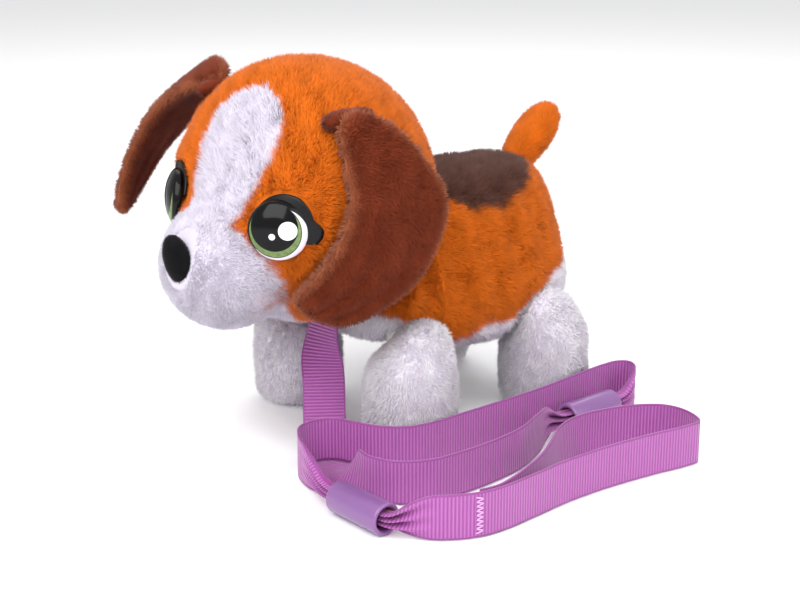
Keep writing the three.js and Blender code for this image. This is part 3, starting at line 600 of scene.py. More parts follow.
def plush_finish(name, rough, sheen, relief):
    """Soft fibre: the stored colour, with its painted shade and painted highlights, mottled, under a broad
    sheen.
    """
    finish = Finish(name, rough)
    dye_and_painted_light = finish.nodes.new("ShaderNodeVertexColor")
    dye_and_painted_light.layer_name = "dye_and_painted_light"
    node = finish.mottled(dye_and_painted_light.outputs["Color"], 0.16, 140.0)
    if relief:
        finish.bump(node.outputs["Noise"], relief, 0.6)
    return finish.set(Sheen_Weight=sheen, Sheen_Roughness=0.5, Specular_IOR_Level=0.15).material


SKIN, PILE = plush_finish("plush backing", 0.95, 0.04, 0.8), plush_finish("plush pile", 0.9, 0.07, 0)
ORANGE, WHITE = screen(216, 106, 20), screen(220, 213, 228)
# the legs' and belly's white is the same plush as WHITE, painted brighter: painted light
WHITE_WITH_PAINTED_LIGHT = screen(246, 238, 252)
# the middle colour here is a painted sheen for the ears' edges
CHESTNUT, EAR_EDGE_SHEEN, SADDLE = screen(124, 52, 28), screen(182, 108, 74), screen(88, 56, 46)


def skin_arrays(piece):
    """A skin's points in the drawing's millimetres, its normals and its triangles."""
    mesh = piece.data
    mesh.calc_loop_triangles()
    flat = np.zeros(len(mesh.vertices) * 3)
    mesh.vertices.foreach_get("co", flat)
    points = flat.reshape(-1, 3) * 1000 - SHIFT
    mesh.vertex_normals.foreach_get("vector", flat)
    normals = flat.reshape(-1, 3).copy()
    triangles = np.zeros(len(mesh.loop_triangles) * 3, dtype=np.int32)
    mesh.loop_triangles.foreach_get("vertices", triangles)
    return points, normals, triangles.reshape(-1, 3)


def scatter(points, normals, triangles, count):
    """Places by area: a triangle by its share of the area, then a point by two random shares."""
    a, b, c = (points[triangles[:, i]] for i in range(3))
    area = np.linalg.norm(np.cross(b - a, c - a), axis=1)
    pick = np.searchsorted(np.cumsum(area) / area.sum(), rng.random(count))
    root, share = np.sqrt(rng.random(count)), rng.random(count)
    weights = np.stack([1 - root, root * (1 - share), root * share], axis=1)
    place = np.einsum("nk,nkj->nj", weights, points[triangles[pick]])
    normal = np.einsum("nk,nkj->nj", weights, normals[triangles[pick]])
    return place, unit(normal)


NEEDLES_PER_PIECE = 48000
NEEDLE_FACES = np.array([[0, 2, 1], [0, 1, 3], [1, 2, 3], [2, 0, 3]])
# Painted shade and painted highlight: roots darkened as shade deep in the pile, tips lightened as light on
# them
PAINTED_ROOT_SHADE, PAINTED_TIP_LIGHT = 0.72, 1.12


def everywhere(values):
    """A field with the same values at every place."""
    return lambda p: np.tile(values, (len(p), 1))



def pile(name, skin, body, count, length, dye_and_painted_light, comb, root=0.34, keep=None, lean=0.55):
    """Needles on a skin. Each leans from the normal by the comb, slow waves and chance; its three
    roots stand round the place, and its tip lies one length along. Roots are painted darker than tips as
    painted shade deep in the pile, and tips carry a painted highlight."""
    place, normal = scatter(*skin_arrays(skin), count)
    if keep is not None:
        wanted = keep(place)
        place, normal = place[wanted], normal[wanted]
    for number, start in enumerate(range(0, len(place), NEEDLES_PER_PIECE)):
        p, n = place[start:start + NEEDLES_PER_PIECE], normal[start:start + NEEDLES_PER_PIECE]
        way = comb(p)
        way = way - (way * n).sum(axis=1, keepdims=True) * n
        lay = n + way * lean + drift(p, 16, 5) * 0.32 + drift(p, 5, 6) * 0.28
        lay += rng.normal(size=p.shape) * 0.2
        lay = unit(lay)
        long = (length(p) if callable(length) else length) * rng.uniform(0.7, 1.12, len(p))
        side = unit(np.cross(lay, rng.normal(size=p.shape)))
        other = np.cross(lay, side)
        third = 2 * math.pi / 3
        ring = [p - n * 0.5 + root * (math.cos(third * i) * side + math.sin(third * i) * other)
                for i in range(3)]
        corners = np.stack([*ring, p + lay * long[:, None]], axis=1)
        first = np.arange(len(p))[:, None, None] * 4
        faces = first + NEEDLE_FACES[None]
        shade = dye_and_painted_light(p) * (1 + 0.10 * drift(p, 9, 8)[:, :1]) * rng.uniform(0.88, 1.1, (len(p), 1))
        # painted shade at each needle's three roots and a painted highlight at its tip
        tone_with_painted_light = shade[:, None] * np.array([PAINTED_ROOT_SHADE] * 3 + [PAINTED_TIP_LIGHT])[None, :, None]
        mesh = bpy.data.meshes.new(f"{name}_{number}")
        mesh.from_pydata(to_frame(corners.reshape(-1, 3)), [], faces.reshape(-1, 3))
        mesh.polygons.foreach_set("use_smooth", np.ones(len(mesh.polygons), dtype=bool))
        dye_and_painted_light_layer(mesh, np.clip(tone_with_painted_light.reshape(-1, 3), 0, 1))
        soft = np.repeat(n[:, None] * 0.8 + lay[:, None] * 0.2, 4, axis=1).reshape(-1, 3)
        mesh.normals_split_custom_set_from_vertices(unit(soft).tolist())
        mesh.materials.append(PILE)
        tuft = bpy.data.objects.new(f"{name}_{number}", mesh)
        bpy.context.collection.objects.link(tuft)
        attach(tuft, body)
    print(name, "needles", len(place), "pieces", -(-len(place) // NEEDLES_PER_PIECE))


def dyed_skin_with_painted_shade(piece, body, slot, dye_and_painted_light, fill, *nodes):
    """Finishes a skin: its backing's dye, darkened to 0.8 as painted shade under the pile, the body it
    rides on and the nodes that it stands for.
    """
    points = skin_arrays(piece)[0]
    # the backing's colour times 0.8 is painted shade under the pile
    dye_and_painted_light_layer(piece.data, dye_and_painted_light(points) * 0.8)
    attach(piece, body)
    if nodes:
        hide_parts(*nodes)


def cloth_wall(piece):
    """Gives an open skin the thickness of its backing, inwards."""
    wall = piece.modifiers.new("cloth wall", "SOLIDIFY")
    wall.thickness, wall.offset = 0.0012, -1


# %% [markdown]
# Stuffing swells a sewn skin until the cloth stops it. A cloth simulation with inside pressure does
# that to the trunk and the legs: each starts slightly small, and no point may go past a cap.

# %% Stuffing by cloth pressure
SETTLING_FRAMES = 20


def stuffed(piece, voxel, pressure, stiffness, cap, stay):
    """Remeshes a closed skin evenly, blows it up as cloth, and limits each point's travel. A small
    skin needs softer cloth and more pressure than a large one to swell at all."""
    remesh = piece.modifiers.new("even", "REMESH")
    remesh.mode, remesh.voxel_size = "VOXEL", voxel / 1000
    bake_modifiers(piece)
    start = skin_arrays(piece)[0]
    cloth = piece.modifiers.new("cloth", "CLOTH")
    cloth.settings.use_pressure = True
    cloth.settings.uniform_pressure_force = pressure
    cloth.settings.tension_stiffness = cloth.settings.compression_stiffness = stiffness
    cloth.settings.shear_stiffness = stiffness
    cloth.settings.effector_weights.gravity = 0
    for frame_number in range(1, SETTLING_FRAMES + 1):
        bpy.context.scene.frame_set(frame_number)
    bake_modifiers(piece)
    bpy.context.scene.frame_set(1)
    moved = skin_arrays(piece)[0]
    travel = moved - start
    far = np.linalg.norm(travel, axis=1, keepdims=True)
    moved = start + travel * np.minimum(1, cap / np.maximum(far, 1e-9))
    print(piece.name, "mean travel, mm", round(float(np.minimum(far, cap).mean()), 2))
    place_points(piece, stay(moved))
    piece.data.polygons.foreach_set("use_smooth", np.ones(len(piece.data.polygons), dtype=bool))


def bake_modifiers(piece):
    """Replaces the mesh by what its modifiers make of it, and drops them."""
    shape = bpy.data.meshes.new_from_object(piece.evaluated_get(bpy.context.evaluated_depsgraph_get()))
    shape.name = piece.name
    piece.modifiers.clear()
    piece.data = shape


def place_points(piece, points):
    """Puts new places, in the drawing's millimetres, into a mesh."""
    piece.data.vertices.foreach_set("co", to_frame(points).ravel())
    piece.data.update()


# %% [markdown]
# The trunk is a stack of rounded rings. It has a dish for the head to turn in and a pocket at each
# hip, so that a leg can swing without rubbing through the cloth.

# %% Trunk skin
# Rows up the trunk: height, half width, front and back.
TRUNK_ROWS = np.array([
    [46, 47, -55, 77], [50, 49.5, -57.5, 80], [62, 49.5, -57.5, 81.5], [74, 46.5, -56, 80],
    [86, 43, -53, 77.5], [98, 38.5, -49, 75], [108, 33, -45, 71.5], [116, 24, -40, 66],
    [120, 13, -34, 56],
], float)
HIP_Y, HIP_Z, LEVER_TOP_Z = 40.0, 50.0, 62.0
HEAD_CLEAR = 62.0
POCKET_REACH, POCKET_FLOOR, POCKET_TOP, LEVER_COVER = 13, 38.5, 61, 39.8
BELLY_TOP, BELLY_SAG = 60, 6.5


def ringed(rows, power, columns, less):
    """Rings of superellipses: each coordinate is the cosine or sine raised to two over the power."""
    turn = around(columns)
    x = bent(np.cos(turn), 2 / power)[None] * (rows[:, 1:2] - less)
    reach = (rows[:, 3:4] - rows[:, 2:3]) / 2 - less
    y = (rows[:, 2:3] + rows[:, 3:4]) / 2 + bent(np.sin(turn), 2 / power)[None] * reach
    return np.stack([x, y, np.broadcast_to(rows[:, :1], x.shape)], axis=-1)


def kept_clear(points):
    """Points inside the head's sphere go out to it, and points in a hip's pocket go in to its floor.
    The cloth covers each lever's top, has slow folds, and sags between the legs."""
    away = points - HEAD_CENTRE
    reach = np.linalg.norm(away, axis=1, keepdims=True)
    points = np.where(reach < HEAD_CLEAR, HEAD_CENTRE + away / reach * HEAD_CLEAR, points)
    ring = np.hypot(np.abs(points[:, 1]) - HIP_Y, points[:, 2] - HIP_Z + 3)
    pocket = (ring < POCKET_REACH) & (np.abs(points[:, 0]) > POCKET_FLOOR) & (points[:, 2] < POCKET_TOP)
    points[pocket, 0] = np.sign(points[pocket, 0]) * POCKET_FLOOR
    lever = np.hypot(np.abs(points[:, 1]) - HIP_Y, points[:, 2] - LEVER_TOP_Z)
    reach = 40.0 * np.clip((17 - lever) / 6, 0, 1) * (np.abs(points[:, 0]) > 30)
    points[:, 0] = np.sign(points[:, 0]) * np.maximum(np.abs(points[:, 0]), np.minimum(reach, LEVER_COVER))
    fold = np.sin(points[:, 1] / 3.1 + points[:, 2] / 26) * np.clip((points[:, 2] - 58) / 14, 0, 1)
    points[:, 0] += np.sign(points[:, 0]) * 0.7 * fold * (np.abs(points[:, 0]) > 28)
    low = np.clip((BELLY_TOP - points[:, 2]) / 12, 0, 1)
    between = np.clip((24 - np.abs(points[:, 1])) / 8, 0, 1)
    beside = np.clip((np.abs(points[:, 0]) - 23) / 6, 0, 1)
    points[:, 2] -= BELLY_SAG * low * between * beside
    return points


def opened_for_door(piece):
    """Cuts the skin away below the belly panel."""
    work = bmesh.new()
    work.from_mesh(piece.data)
    middles = np.array([face.calc_center_median() for face in work.faces]) * 1000 - SHIFT
    window = (np.abs(middles[:, 0]) < 22) & (np.abs(middles[:, 1] - 25) < 41) & (middles[:, 2] < 60)
    bmesh.ops.delete(work, geom=[f for f, cut in zip(list(work.faces), window) if cut], context="FACES")
    work.to_mesh(piece.data)
    work.free()
    print("belly window, faces cut", int(window.sum()))


trunk_grid = ringed(TRUNK_ROWS, 2.7, 64, 3.5)
trunk_grid[..., 2] = np.clip(trunk_grid[..., 2], 48, 117)
trunk = closed_piece("trunk_skin", trunk_grid, SKIN)
stuffed(trunk, 4.5, 8.0, 15.0, 3.0, kept_clear)
opened_for_door(trunk)


def soft_step(value, edge, width=1.4):
    """0 below the edge and 1 above, ragged by about the width, as two piles mix at a seam."""
    return 1 / (1 + np.exp(-np.clip((value - edge) / width * 3, -30, 30)))[:, None]


def trunk_dye(p):
    """Orange above a wavy line and white below it, with the dark saddle as an ellipse on the back."""
    ragged = drift(p, 7, 31)[:, 0] * 0.7
    line = np.interp(p[:, 1], [-60, -45, -33, -23, -7, 0, 20, 27, 53, 80],
                     [62, 61, 54, 45, 48, 51, 50, 57, 68, 72])
    # the white below the line is the brighter white with painted light
    colour = WHITE_WITH_PAINTED_LIGHT + (ORANGE - WHITE_WITH_PAINTED_LIGHT) * soft_step(p[:, 2] + ragged, line)
    inside = 1 - np.hypot(p[:, 0] / 33, (p[:, 1] - 16) / 45) + ragged / 45
    back = soft_step(inside * 40, 0) * soft_step(p[:, 2], 98)
    return colour + (SADDLE - colour) * back


def trunk_comb(p):
    """The pile runs back and down, and away from the side seam."""
    way = np.tile([0.0, 0.55, -0.8], (len(p), 1))
    way[:, 1] += np.sign(p[:, 1] + 22) * 0.9 * np.exp(-((p[:, 1] + 22) / 4) ** 2)
    return way


def trunk_length(p):
    """Full pile, shorter by the side seam and down at the belly."""
    seam_line = np.exp(-((p[:, 1] + 22) / 1.6) ** 2) * (p[:, 2] < 104)
    return 4.4 * (1 - 0.5 * seam_line)


def visible_trunk(p):
    """Leaves the head's dish bare, since no pile shows there."""
    return np.linalg.norm(p - HEAD_CENTRE, axis=1) > HEAD_CLEAR + 0.6


dyed_skin_with_painted_shade(trunk, "torso", "plush_orange", trunk_dye, 0.75, "trunk_plush", "saddle_plush")
pile("trunk_pile", trunk, "torso", 110000, trunk_length, trunk_dye, trunk_comb,
     keep=visible_trunk)
cloth_wall(trunk)

# %% [markdown]
# Each leg is a plump boot that narrows over its hip. Rings of changing centre make it, and the same
# stuffing rounds it. Its sole stays flat on the floor.

# %% Legs
# Rows up a leg: height, middle across, half width, half length, middle along.
LEG_ROWS = np.array([
    [0.6, 43, 15.5, 15.5, 44.5], [3, 43, 18.4, 18.4, 44.5], [10, 43, 19.6, 19.6, 44.5],
    [24, 43, 19.8, 19.8, 44.5], [36, 43, 19.4, 19.4, 44.5], [42, 44.6, 16.6, 18.6, 44],
    [46, 46.6, 12, 17.4, 43], [51, 47.6, 8.6, 15.4, 42], [56, 47.8, 6.6, 11.5, 41.2],
    [59.5, 47.6, 3, 5, 41],
])
LEG_POWER, SOLE_Z = 2.3, 0.6


def leg_grid(side, end):
    """Superellipse rings whose middle moves from the foot to the hip."""
    turn = around(40)
    z, across, half, long, along = (LEG_ROWS[:, i:i + 1] for i in range(5))
    x = side * (across + bent(np.cos(turn), 2 / LEG_POWER)[None] * half)
    y = end * (along + bent(np.sin(turn), 2 / LEG_POWER)[None] * long)
    return np.stack([x, y, np.broadcast_to(z, x.shape)], axis=-1)


def grounded(points):
    """Nothing goes below the sole."""
    points[:, 2] = np.maximum(points[:, 2], SOLE_Z)
    return points


def leg_dye_and_painted_light(p):
    """White all over, with painted light, and painted a little greyer at the sole as shade near the floor.
    """
    # the greying near the sole is painted shade near the floor
    return WHITE_WITH_PAINTED_LIGHT * (1 - 0.1 * np.exp(-p[:, 2:3] / 5))


for end_name, end in (("front", -1), ("rear", 1)):
    for side_name, side in (("left", 1), ("right", -1)):
        where = f"{end_name}_{side_name}"
        leg = closed_piece(f"leg_skin_{where}", leg_grid(side, end), SKIN)
        stuffed(leg, 3.5, 120.0, 0.2, 1.6, grounded)
        dyed_skin_with_painted_shade(leg, f"leg_{where}", "plush_white", leg_dye_and_painted_light, 0.8, f"leg_plush_{where}")
        pile(f"leg_pile_{where}", leg, f"leg_{where}", 19000, 3.2, leg_dye_and_painted_light,
             everywhere([0.0, 0.0, -1.0]), keep=lambda p: p[:, 2] > 3.6)

# %% [markdown]
# The head is one blended form: an egg flattened at the forehead, with the muzzle's egg melted into
# it. Along every line out from its middle the surface is met once, so halving an interval finds it.

# %% Head skin
MUZZLE_MIDDLE, MUZZLE_SIZE = np.array([0, -49.0, -27.0]), np.array([29.5, 28.0, 28.0])
NECK_POLE = np.array([0, 0.626, -0.78])
PILE_ROOM = 2.4


def joined(a, b, width):
    """The smaller of two fields, rounded off where they come within a width of each other."""
    share = np.clip(0.5 + 0.5 * (b - a) / width, 0, 1)
    return b * (1 - share) + a * share - width * share * (1 - share)


def head_field(p):
    """Signed reach in mm: the skull's egg, cut softly by the brow's plane, joined with the muzzle."""
    skull = (np.linalg.norm(p / np.array([60, 60, 60.5]), axis=-1) - 1) * 60
    brow = -0.883 * p[..., 1] + 0.468 * p[..., 2] - 48.5
    muzzle = (np.linalg.norm((p - MUZZLE_MIDDLE) / MUZZLE_SIZE, axis=-1) - 1) * 28
    return joined(-joined(-skull, -brow, 12), muzzle, 7)


def head_reach(ways):
    """How far the head goes along unit vectors, found by halving an interval thirty times."""
    low, high = np.zeros(ways.shape[:-1]), np.full(ways.shape[:-1], 110.0)
    for _ in range(30):
        middle = (low + high) / 2
        outside = head_field(ways * middle[..., None]) > 0
        low, high = np.where(outside, low, middle), np.where(outside, middle, high)
    return low


def head_surface(rows=110, columns=120, opening=26.0):
    """Unit vectors from the rim of the neck's opening over the head to the far pole, times reach."""
    down = np.radians(np.linspace(opening, 179.0, rows))[:, None]
    turn = around(columns)[None]
    first = np.array([1.0, 0, 0])
    second = np.cross(NECK_POLE, first)
    second /= np.linalg.norm(second)
    pole = NECK_POLE / np.linalg.norm(NECK_POLE)
    ways = (np.cos(down)[..., None] * pole + (np.sin(down) * np.cos(turn))[..., None] * first
            + (np.sin(down) * np.sin(turn))[..., None] * second)
    return ways * (head_reach(ways) - PILE_ROOM)[..., None]


# %% [markdown]
# The eyes have to be placed before the pile, because no pile grows under them. Each is a shallow
# glossy dome printed on its back: a green iris round a wide pupil, two highlights and a dark rim.

# %% Where the eyes are
EYE_MIDDLE, EYE_FACING, EYE_RADIUS = (35.3, -47.8, -3.0), (0.62, -0.78, 0.03), 13.3
# Angle round the eye in degrees and how far its dark corner reaches there, in eye radii.
LASH_ROWS = np.array([[-26, 1.0], [-22, 1.06], [-21, 1.34], [-8, 1.52], [2, 1.54], [18, 1.24],
                      [58, 1.31], [90, 1.21], [120, 1.10], [165, 1.0]])


def eye_axes(side):
    """The eye's middle, the line it looks along, the way to its outer corner, and its own up."""
    middle = np.array([side * EYE_MIDDLE[0], EYE_MIDDLE[1], EYE_MIDDLE[2]])
    facing = np.array([side * EYE_FACING[0], EYE_FACING[1], EYE_FACING[2]])
    facing /= np.linalg.norm(facing)
    up = np.array([0, 0, 1.0]) - facing * facing[2]
    up /= np.linalg.norm(up)
    corner = np.cross(up, facing)
    return middle, facing, corner * np.sign(corner[0] * side), up


def on_head(p):
    """The drawing's points, as seen from the upright head."""
    return (p - HEAD_CENTRE) @ HEAD_MATRIX


def clear_of_face(p):
    """True where pile grows: not under an eye, not in a lash corner, not on the nose."""
    q = on_head(p)
    free = np.hypot(q[:, 0] / 8.6, (q[:, 2] + 19.5) / 13.2) > 1
    free |= q[:, 1] > -66
    for side in (1, -1):
        middle, facing, corner, up = eye_axes(side)
        away = q - middle
        u, v = away @ corner / EYE_RADIUS, away @ up / EYE_RADIUS
        edge = np.interp(np.degrees(np.arctan2(v, u)), LASH_ROWS[:, 0], LASH_ROWS[:, 1], 1, 1)
        free &= (np.hypot(u, v) > edge + 0.02) | (away @ facing < -12)
    return free


# %% Head colours and pile
# Height on the head and the blaze's half width there; below zero no white shows.
BLAZE = np.array([[-62, 8], [-52, 17], [-43, 23.5], [-27.7, 31], [-17.4, 29.4], [-8.7, 22.4],
                  [-4, 14], [1, 15.7], [14, 19.6], [22, 22], [34, 21.5], [41, 17], [46, 10.5],
                  [49.5, 0], [51, -7], [90, -9]])


def head_dye(p):
    """White inside the blaze's half width, which changes with height, and orange outside it."""
    q = on_head(p)
    ragged = drift(q, 6, 41)[:, 0] * 0.7
    half = np.interp(q[:, 2], BLAZE[:, 0], BLAZE[:, 1])
    inside = soft_step(half - np.abs(q[:, 0]) + ragged, 0) * (q[:, 1:2] < -4)
    return ORANGE + (WHITE - ORANGE) * inside


def head_comb(p):
    """The pile sweeps back from the nose over the skull, in the head's own turn."""
    q = on_head(p)
    way = q - np.array([0, -76, -16])
    return unit(way) @ HEAD_MATRIX.T


def head_length(p):
    """Short on the muzzle and growing to full length over the cheeks and the crown."""
    q = on_head(p)
    return np.interp(np.linalg.norm(q - np.array([0, -70, -22]), axis=1), [14, 30, 55], [2.0, 2.8, 4.2])


surface = head_surface()
faces = grid_faces(*surface.shape[:2]).tolist()
faces.append(list(range((surface.shape[0] - 1) * surface.shape[1], surface.shape[0] * surface.shape[1])))
head = mesh_piece("head_skin", from_head(surface.reshape(-1, 3)), faces, SKIN)
face_outwards(head)
dyed_skin_with_painted_shade(head, "head", "plush_orange", head_dye, 0.85, "head_plush", "muzzle_plush")
pile("head_pile", head, "head", 170000, head_length, head_dye, head_comb,
     keep=clear_of_face)
cloth_wall(head)

# %% [markdown]
# The eye's print is drawn with circles in the dome's own flat coordinates, which run from -1 to 1
# across the disc: u towards the outer corner of the eye and v up. No picture is needed.

# %% Eyes
def inside_circle(finish, u, v, middle, radius, soft=0.02):
    """1 inside a circle of the print and 0 outside, with a soft edge."""
    du, dv = finish.math("SUBTRACT", u, middle[0]), finish.math("SUBTRACT", v, middle[1])
    squares = finish.math("ADD", finish.math("MULTIPLY", du, du), finish.math("MULTIPLY", dv, dv))
    gap = finish.math("SUBTRACT", radius, finish.math("SQRT", squares))
    return finish.add("ShaderNodeClamp", Value=finish.math("DIVIDE", gap, soft)).outputs[0]


def eye_print():
    """Dark liner, pale white of the eye, ringed green iris, wide pupil, highlights; clear and glossy."""
    finish = Finish("eye print", 0.16)
    uv = finish.add("ShaderNodeUVMap")
    uv.uv_map = "flat"
    parts = finish.add("ShaderNodeSeparateXYZ", Vector=uv.outputs["UV"])
    u, v = parts.outputs[0], parts.outputs[1]
    green = finish.mix(finish.noise(7.0, uv.outputs["UV"]), flat_colour(screen(70, 88, 52)),
                       flat_colour(screen(134, 156, 98)))
    colour = flat_colour(screen(12, 12, 14))
    for middle, radius, paint in (
            ((0.09, -0.13), 0.93, flat_colour(screen(222, 218, 232))),
            ((-0.06, 0.0), 0.885, flat_colour(screen(24, 30, 22))), ((-0.06, 0.0), 0.857, green),
            ((-0.083, 0.143), 0.786, flat_colour(screen(9, 9, 11))),
            ((0.369, 0.088), 0.31, flat_colour(screen(246, 246, 250))),
            ((-0.131, -0.126), 0.114, flat_colour(screen(236, 236, 242)))):
        colour = finish.mix(inside_circle(finish, u, v, middle, radius), colour, paint)
    finish.links.new(colour, finish.shader.inputs["Base Color"])
    return finish.set(Coat_Weight=0.12, Coat_Roughness=0.06, Specular_IOR_Level=0.12).material


def black_gloss():
    """The moulded rim and the lash corner: black, shiny, with a faint ripple."""
    finish = Finish("eye rim", 0.35)
    node = finish.mottled(flat_colour(screen(16, 16, 18)), 0.2, 200.0)
    finish.bump(node.outputs["Noise"], 0.06, 0.4)
    return finish.set(Specular_IOR_Level=0.2).material


EYE_PRINT, RIM = eye_print(), black_gloss()
# Radius and height of the dome, from the rim's back to its crown.
DOME = np.array([[12.5, -3.6], [13.2, -3.0], [13.3, -2.2], [13.15, -1.0], [12.5, 0.1], [10.9, 1.4],
                 [8.9, 2.4], [6.8, 3.2], [4.5, 3.7], [2.2, 4.0], [0.3, 4.1]])


def eye_dome(side):
    """The dome's profile turned about the line the eye looks along."""
    middle, facing, corner, up = eye_axes(side)
    profile = smooth_path(DOME, 4)
    turn = around(64)
    ring = np.cos(turn)[:, None] * corner + np.sin(turn)[:, None] * up
    points = middle + profile[:, None, :1] * ring[None] + profile[:, None, 1:2] * facing
    flat = np.stack([profile[:, :1] * np.cos(turn), profile[:, :1] * np.sin(turn)], axis=-1)
    return points, flat / EYE_RADIUS


def lash_corner(side, steps=72, rows=5):
    """A thin plate on the head from the eye's rim out to the lash outline, raised over the pile."""
    middle, _, corner, up = eye_axes(side)
    angle = np.linspace(LASH_ROWS[0, 0], LASH_ROWS[-1, 0], steps)
    far = np.maximum(np.interp(angle, LASH_ROWS[:, 0], LASH_ROWS[:, 1]), 0.99)
    share = np.linspace(0, 1, rows)[:, None]
    reach = (0.9 + (far - 0.9) * share) * EYE_RADIUS
    turn = np.radians(angle)
    sheet = (middle + reach[..., None] * (np.cos(turn)[:, None] * corner + np.sin(turn)[:, None] * up))
    ways = unit(sheet)
    reach = head_reach(ways)
    top, low = ways * (reach - 0.1)[..., None], ways * (reach - 1.5)[..., None]
    return np.concatenate([top, low[::-1]], axis=0)


for side_name, side in (("left", 1), ("right", -1)):
    dome, flat = eye_dome(side)
    eye = closed_piece(f"eye_dome_{side_name}", from_head(dome), EYE_PRINT, flat.reshape(-1, 2))
    lash = lash_corner(side)
    rows, columns = lash.shape[:2]
    ring = grid_faces(rows, columns, ring=True).reshape(rows, columns, 4)[:, :-1].reshape(-1, 4).tolist()
    ring += [[r * columns for r in range(rows)], [r * columns + columns - 1 for r in range(rows)][::-1]]
    corner_piece = face_outwards(mesh_piece(f"lash_corner_{side_name}",
                                            from_head(lash.reshape(-1, 3)), ring, RIM))
    for piece in (eye, corner_piece):
        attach(piece, "head")
    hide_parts(f"eye_{side_name}")
print("eyes placed, radius", EYE_RADIUS)

# %% [markdown]
# The nose is a small upright egg coated with flock: very short black fibre that stands straight up.

# %% Nose
def egg(size, turn_x, middle, rows=36, columns=48):
    """An ellipsoid from its poles down, tipped about X and moved to its middle."""
    down = np.linspace(0.03, math.pi - 0.03, rows)[:, None]
    turn = around(columns)[None]
    points = np.stack([size[0] * np.sin(down) * np.cos(turn), size[1] * np.sin(down) * np.sin(turn),
                       size[2] * np.cos(down) * np.ones_like(turn)], axis=-1)
    c, s = math.cos(math.radians(turn_x)), math.sin(math.radians(turn_x))
    return points @ np.array([[1, 0, 0], [0, c, s], [0, -s, c]]) + np.asarray(middle)


nose_grid = egg((7.6, 4.6, 12.4), 15, (0, -73.4, -20))
nose = closed_piece("nose_skin", from_head(nose_grid), SKIN)
black_dye = everywhere(screen(20, 19, 22))
dyed_skin_with_painted_shade(nose, "head", "flock_black", black_dye, 0.9, "nose")
pile("nose_flock", nose, "head", 9000, 0.8, black_dye, head_comb, root=0.16, lean=0.1)

# %% [markdown]
# An ear is a flat pad of long pile. It is lofted down its rows, thick in the middle and round at its
# edges, and its rim is painted paler where the two faces meet, a painted sheen along the edge.

# %% Ears
EAR_ROOT = np.array([41.0, -14, 42])
# Down the ear: a point on its front edge, one on its rear edge, and its half thickness.
EAR_ROWS = np.array([
    [42, -21, 44, 45, -7, 46, 3], [47, -26, 38, 60, 2, 37, 4], [53, -28, 27, 67, 13, 23, 4.2],
    [58, -29, 12, 69, 22, 6, 4.4], [57, -32, -2, 69, 18, -13, 4.4], [53, -36, -13, 67, 8, -28, 4.3],
    [47, -40, -23, 60, -5, -40, 4], [40, -42, -32, 51, -20, -47, 3.6], [38, -39, -38, 44, -33, -43, 2.4],
], float)
EAR_INSET = 1.6


def turned_about(points, degrees, axis):
    """Points turned about the Y or Z axis by the right-hand rule."""
    c, s = math.cos(math.radians(degrees)), math.sin(math.radians(degrees))
    matrix = {"y": [[c, 0, s], [0, 1, 0], [-s, 0, c]], "z": [[c, -s, 0], [s, c, 0], [0, 0, 1]]}[axis]
    return points @ np.array(matrix).T


def ear_grid(side, twist, flare, columns=40):
    """Cross-sections are flattened ellipses between the edges; both ends close in a quarter round."""
    rows = smooth_path(EAR_ROWS, 7)
    front, rear, thick = rows[:, :3], rows[:, 3:6], rows[:, 6:7] - EAR_INSET
    middle, width = (front + rear) / 2, rear - front
    half = np.linalg.norm(width, axis=1, keepdims=True) / 2 - EAR_INSET
    width = unit(width)
    through = unit(np.cross(np.gradient(middle, axis=0), width))
    share = np.linspace(0, 1, len(rows))[:, None]
    taper = np.sqrt(np.clip(1 - np.clip(1 - share / 0.06, 0, 1) ** 2, 0.01, 1))
    taper *= np.sqrt(np.clip(1 - np.clip((share - 0.92) / 0.08, 0, 1) ** 2, 0.01, 1))
    turn = around(columns)
    points = (middle[:, None] + (half * taper * np.cos(turn))[..., None] * width[:, None]
              + (thick * taper * bent(np.sin(turn), 0.8))[..., None]
              * through[:, None])
    fold = 1.3 * np.sin(3.2 * math.pi * np.cos(turn))[None] * np.clip((share - 0.45) / 0.4, 0, 1)
    points = points + fold[..., None] * through[:, None]
    points = turned_about(turned_about(points - EAR_ROOT, -twist, "z"), -flare, "y") + EAR_ROOT
    return points * np.array([side, 1, 1]), np.abs(np.cos(turn))


ROLL_RADIUS, ROLL_REACH = 2.3, 13.0


def root_roll(side):
    """The ear's rolled hem round its pin: a slim egg along the pin."""
    down = np.linspace(0.04, math.pi - 0.04, 30)[:, None]
    turn = around(24)[None]
    points = np.stack([ROLL_RADIUS * np.sin(down) ** 0.6 * np.cos(turn),
                       -np.cos(down) * ROLL_REACH * np.ones_like(turn),
                       ROLL_RADIUS * np.sin(down) ** 0.6 * np.sin(turn)], axis=-1)
    return (points + EAR_ROOT) * np.array([side, 1, 1])


